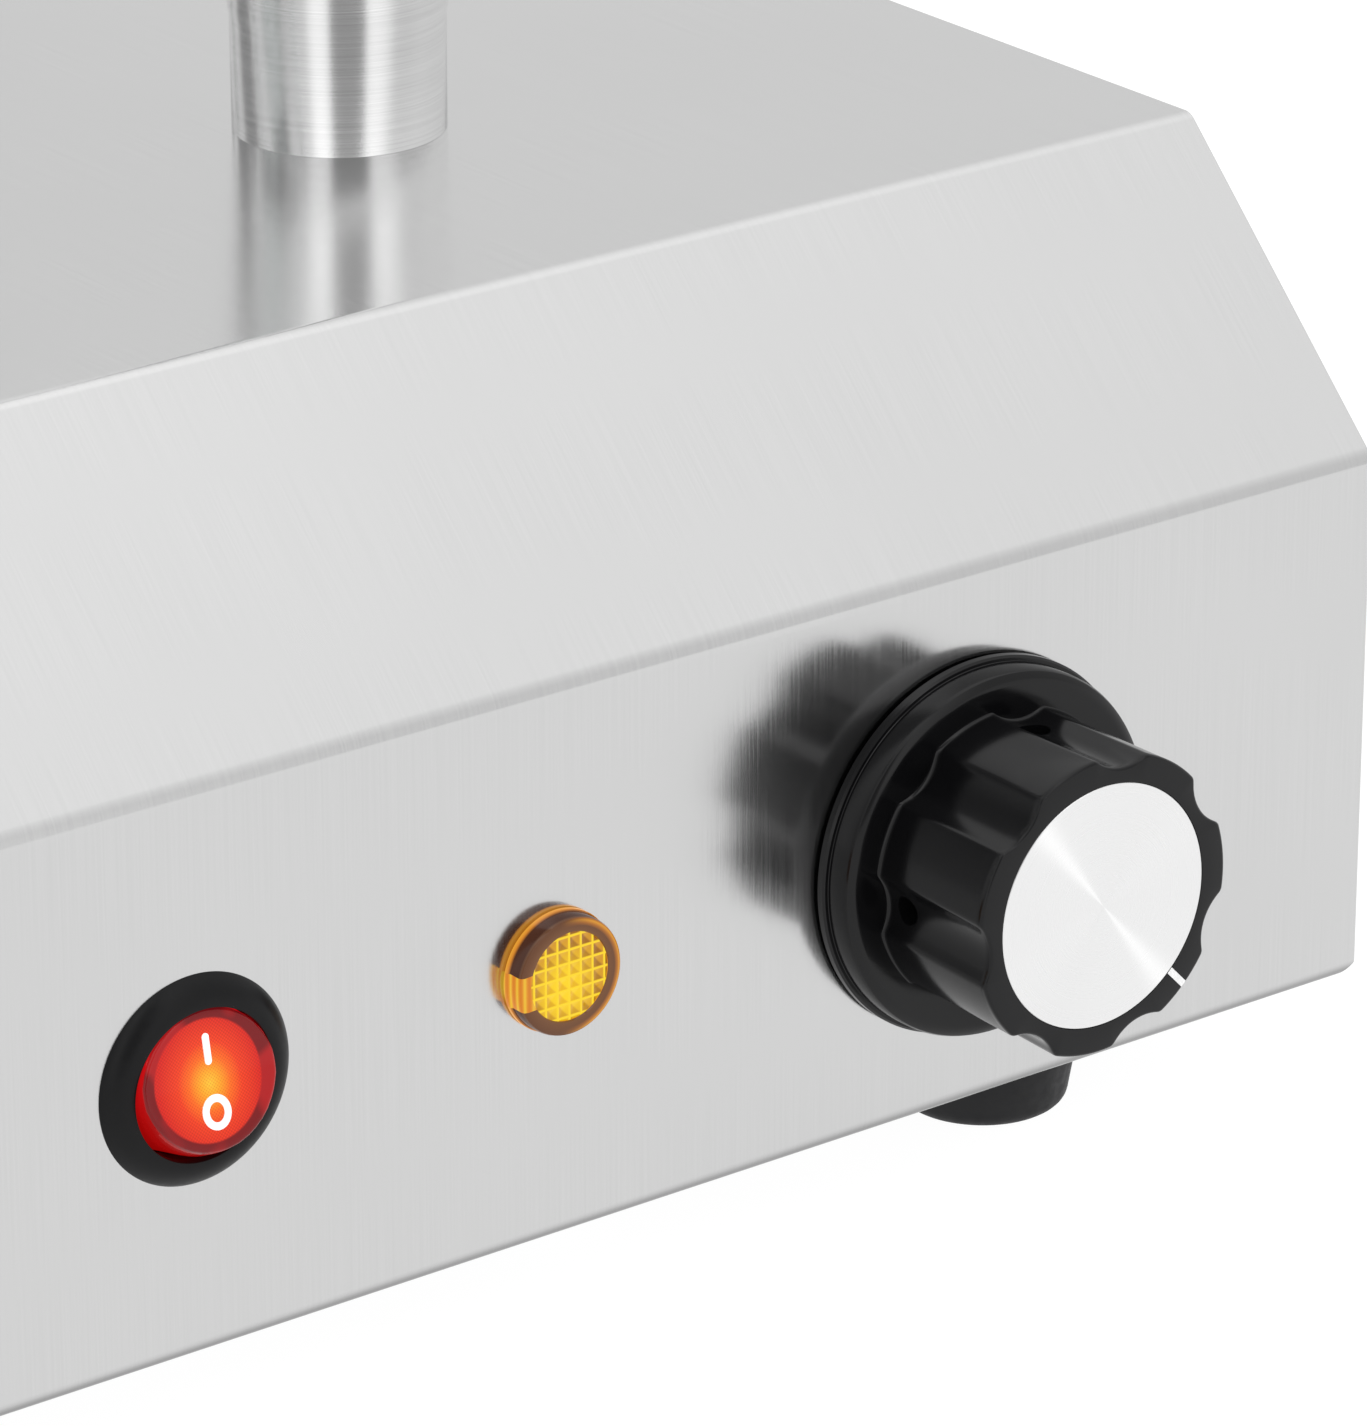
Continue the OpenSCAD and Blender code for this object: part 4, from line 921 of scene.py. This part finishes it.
# ---- Water pan and glass seal ----
# A spun stainless pan sits in the steam opening, its flange resting on the top plate.
# A clear silicone ring lies in the collar on the flange and holds the glass.
polished_steel = grained("polished_steel", (0.62, 0.62, 0.62), 0.14, (0, 0, 1), (1, 1, 0), fine=2400,
                         tint=0.04, rough_by=0.04, relief=0.01)
wear(polished_steel, "basket_floor", "basket_wires", "basket_stem")
pan_low, pan_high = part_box("water_pan")
flange = (pan_high.x - pan_low.x) / 2
flange_z = pan_high.z - 12 * mm
pan_radius = 85 * mm
collar_inside = 97.4 * mm
collar_outside = collar_inside + sheet
pan_profile = [(0, pan_low.z), (pan_radius - 1 * mm, pan_low.z),
               (pan_radius - 0.3 * mm, pan_low.z + 0.3 * mm), (pan_radius, pan_low.z + 1 * mm),
               (pan_radius, flange_z), (flange - 0.5 * mm, flange_z)]
pan_profile += [(flange - 0.5 * mm + 0.5 * mm * math.sin(a), flange_z + 0.5 * mm - 0.5 * mm * math.cos(a))
                for a in (0.5, 1.0, 1.57, 2.1, 2.6)]
pan_profile += [(flange - 0.5 * mm, flange_z + sheet), (collar_outside, flange_z + sheet),
                (collar_outside, pan_high.z - 0.3 * mm), (collar_outside - 0.3 * mm, pan_high.z),
                (collar_inside + 0.3 * mm, pan_high.z), (collar_inside, pan_high.z - 0.3 * mm),
                (collar_inside, flange_z + sheet), (pan_radius - 0.7 * mm, flange_z + sheet),
                (pan_radius - sheet, flange_z + 0.7 * mm), (pan_radius - sheet, pan_low.z + 1.8 * mm),
                (pan_radius - 1.8 * mm, pan_low.z + sheet), (0, pan_low.z + sheet)]
steam_at = (steam.x, steam.y, 0)
pan = lathe(pan_profile, steam_at, steps=160)
add_piece("pan_spun", pan, polished_steel, "pan", "polished_steel", "water_pan")
silicone = plastic("silicone", (0.75, 0.76, 0.76), 0.4)
wear(silicone, "glass_seal")


# ---- Glass cylinder ----
# A drawn tube of clear heat-proof glass, its ends ground and fire-polished to a rounded edge.
# It stands in the seal, and the lid rests on its rim.
clear_glass = new_finish("clear_glass", (0.97, 0.99, 0.985), 0, 0.02, Transmission_Weight=1.0, IOR=1.47)
smear = add_node(clear_glass, "ShaderNodeTexNoise", Scale=22.0, Detail=4.0)
join(clear_glass, add_node(clear_glass, "ShaderNodeTexCoord").outputs["Object"], smear.inputs["Vector"])
roughen(clear_glass, smear.outputs["Fac"], 0.01, 0.07, start=0.4, end=0.8)
glass_low, glass_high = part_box("glass_cylinder")
glass_radius = (glass_high.x - glass_low.x) / 2
bore = glass_radius - 3 * mm
ground = 0.8 * mm
rounding = 0.25 * mm
glass_profile = [(bore + ground, glass_low.z), (glass_radius - ground, glass_low.z),
                 (glass_radius, glass_low.z + ground), (glass_radius, glass_high.z - ground),
                 (glass_radius - rounding, glass_high.z - rounding), (glass_radius - ground, glass_high.z),
                 (bore + ground, glass_high.z), (bore + rounding, glass_high.z - rounding),
                 (bore, glass_high.z - ground), (bore, glass_low.z + ground), (bore + ground, glass_low.z)]
glass = lathe(glass_profile, steam_at, steps=160)
add_piece("glass_tube", glass, clear_glass, "tower", "clear_glass", "glass_cylinder")


# ---- Basket ----
# The sausages stand on a punched floor inside a cage of bent stainless wire, welded at every crossing.
# A central stem with a black heat-proof grip lifts it out.
hoop_low, hoop_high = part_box("basket_hoops")
wire = 2 * mm
hoops = bmesh.new()
for z in (hoop_low.z + wire, hoop_high.z - wire):
    middle = (hoop_high.x - hoop_low.x) / 2 - wire
    turned_ring = lathe(arc(middle, z, wire, range(0, 361, 18)), steam_at, steps=128)
    copy = bpy.data.meshes.new("hoop")
    turned_ring.to_mesh(copy)
    hoops.from_mesh(copy)
add_piece("basket_hoop_wires", hoops, polished_steel, "basket", "polished_steel", "basket_hoops")
grip_low, grip_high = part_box("basket_grip")
grip_profile = [(4 * mm, grip_low.z), (7.6 * mm, grip_low.z), (8 * mm, grip_low.z + 0.4 * mm),
                (8 * mm, grip_low.z + 4 * mm), (9 * mm, grip_low.z + 4.6 * mm),
                (9 * mm, grip_low.z + 8 * mm)]
grip_profile += arc(9 * mm, grip_low.z + 14 * mm, 6 * mm, range(-84, 90, 12))
grip_profile += [(9 * mm, grip_low.z + 20.2 * mm), (8.8 * mm, grip_high.z - 0.8 * mm), (8 * mm, grip_high.z),
                 (0, grip_high.z)]
grip = lathe(grip_profile, steam_at, steps=96)
add_piece("basket_grip_moulding", grip, knob_black, "basket", "knob_black", "basket_grip")


# ---- Lid ----
# A pressed stainless lid drops over the glass and lifts off by a black knob screwed on from below.
# Six round holes near its middle let the steam out.
lid_low, lid_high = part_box("lid")
lid_radius = (lid_high.x - lid_low.x) / 2
plate_z = lid_low.z + 12 * mm
lid_profile = [(lid_radius - 1 * mm, plate_z), (lid_radius - 1 * mm, lid_low.z + 0.3 * mm),
               (lid_radius - 0.7 * mm, lid_low.z), (lid_radius - 0.3 * mm, lid_low.z),
               (lid_radius, lid_low.z + 0.3 * mm), (lid_radius, plate_z),
               (lid_radius - 0.3 * mm, plate_z + 0.7 * mm), (lid_radius - 1 * mm, plate_z + 1 * mm),
               (lid_radius - 6 * mm, plate_z + 1 * mm),
               (50.4 * mm, lid_high.z - 0.05 * mm), (49.4 * mm, lid_high.z), (0, lid_high.z),
               (0, lid_high.z - 1 * mm), (49 * mm, lid_high.z - 1 * mm), (lid_radius - 7 * mm, plate_z),
               (lid_radius - 1 * mm, plate_z)]
lid_body = add_piece("lid_pressing", lathe(lid_profile, steam_at, steps=160), polished_steel, "lid",
                     "polished_steel", "lid")
steam_holes = bmesh.new()
hole_circle = 34 * mm
for i in range(6):
    angle = math.tau * i / 6
    hole_at = (steam.x + hole_circle * math.cos(angle), steam.y + hole_circle * math.sin(angle), lid_high.z)
    drill(steam_holes, hole_at, (0, 0, 1), 2.5 * mm, 20 * mm, steps=32)
drill(steam_holes, (steam.x, steam.y, lid_high.z), (0, 0, 1), 2.6 * mm, 20 * mm, steps=32)
cut_holes(lid_body, steam_holes)
knob_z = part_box("lid_knob")[0].z
lid_knob_profile = [(2.5 * mm, knob_z), (8.7 * mm, knob_z), (9 * mm, knob_z + 0.3 * mm),
                    (7.9 * mm, knob_z + 1 * mm)]
lid_knob_profile += arc(12 * mm, knob_z + 5 * mm, 6 * mm, range(-140, -230, -10))
lid_knob_profile += [(8.8 * mm, knob_z + 10.6 * mm), (9.2 * mm, knob_z + 12 * mm)]
lid_knob_profile += arc(11 * mm, knob_z + 18 * mm, 6 * mm, range(-84, 91, 12))
lid_knob_profile += [(0, knob_z + 24 * mm), (0, knob_z + 13 * mm), (2.5 * mm, knob_z + 13 * mm),
                     (2.5 * mm, knob_z)]
add_piece("lid_knob_moulding", lathe(lid_knob_profile, steam_at, steps=96), knob_black, "lid", "knob_black",
          "lid_knob")


# ---- Cable gland, wiring, capillary and heater plate ----
# A black nylon gland at the rear takes the mains cord, and its cap nut squeezes a seal on the cord.
# Red silicone wires run from the terminal block. A copper capillary runs from the bulb to the thermostat.
gland_black = plastic("gland_black", (0.010, 0.010, 0.010), 0.42)
wear(gland_black, "gland_body", "gland_cap", "gland_locknut")
wire_red = plastic("wire_red", (0.45, 0.015, 0.012), 0.45)
wear(wire_red, "wiring_loom")
copper = grained("copper", (0.78, 0.36, 0.20), 0.3, (0, 0, 1), (1, 1, 0), fine=1200, tint=0.08)
wear(copper, "capillary_bulb")
cast_aluminium = grained("cast_aluminium", (0.60, 0.60, 0.61), 0.5, (1, 0, 0), (0, 1, 1), fine=500,
                         tint=0.08, rough_by=0.08, relief=0.1)
wear(cast_aluminium, "heater_plate")
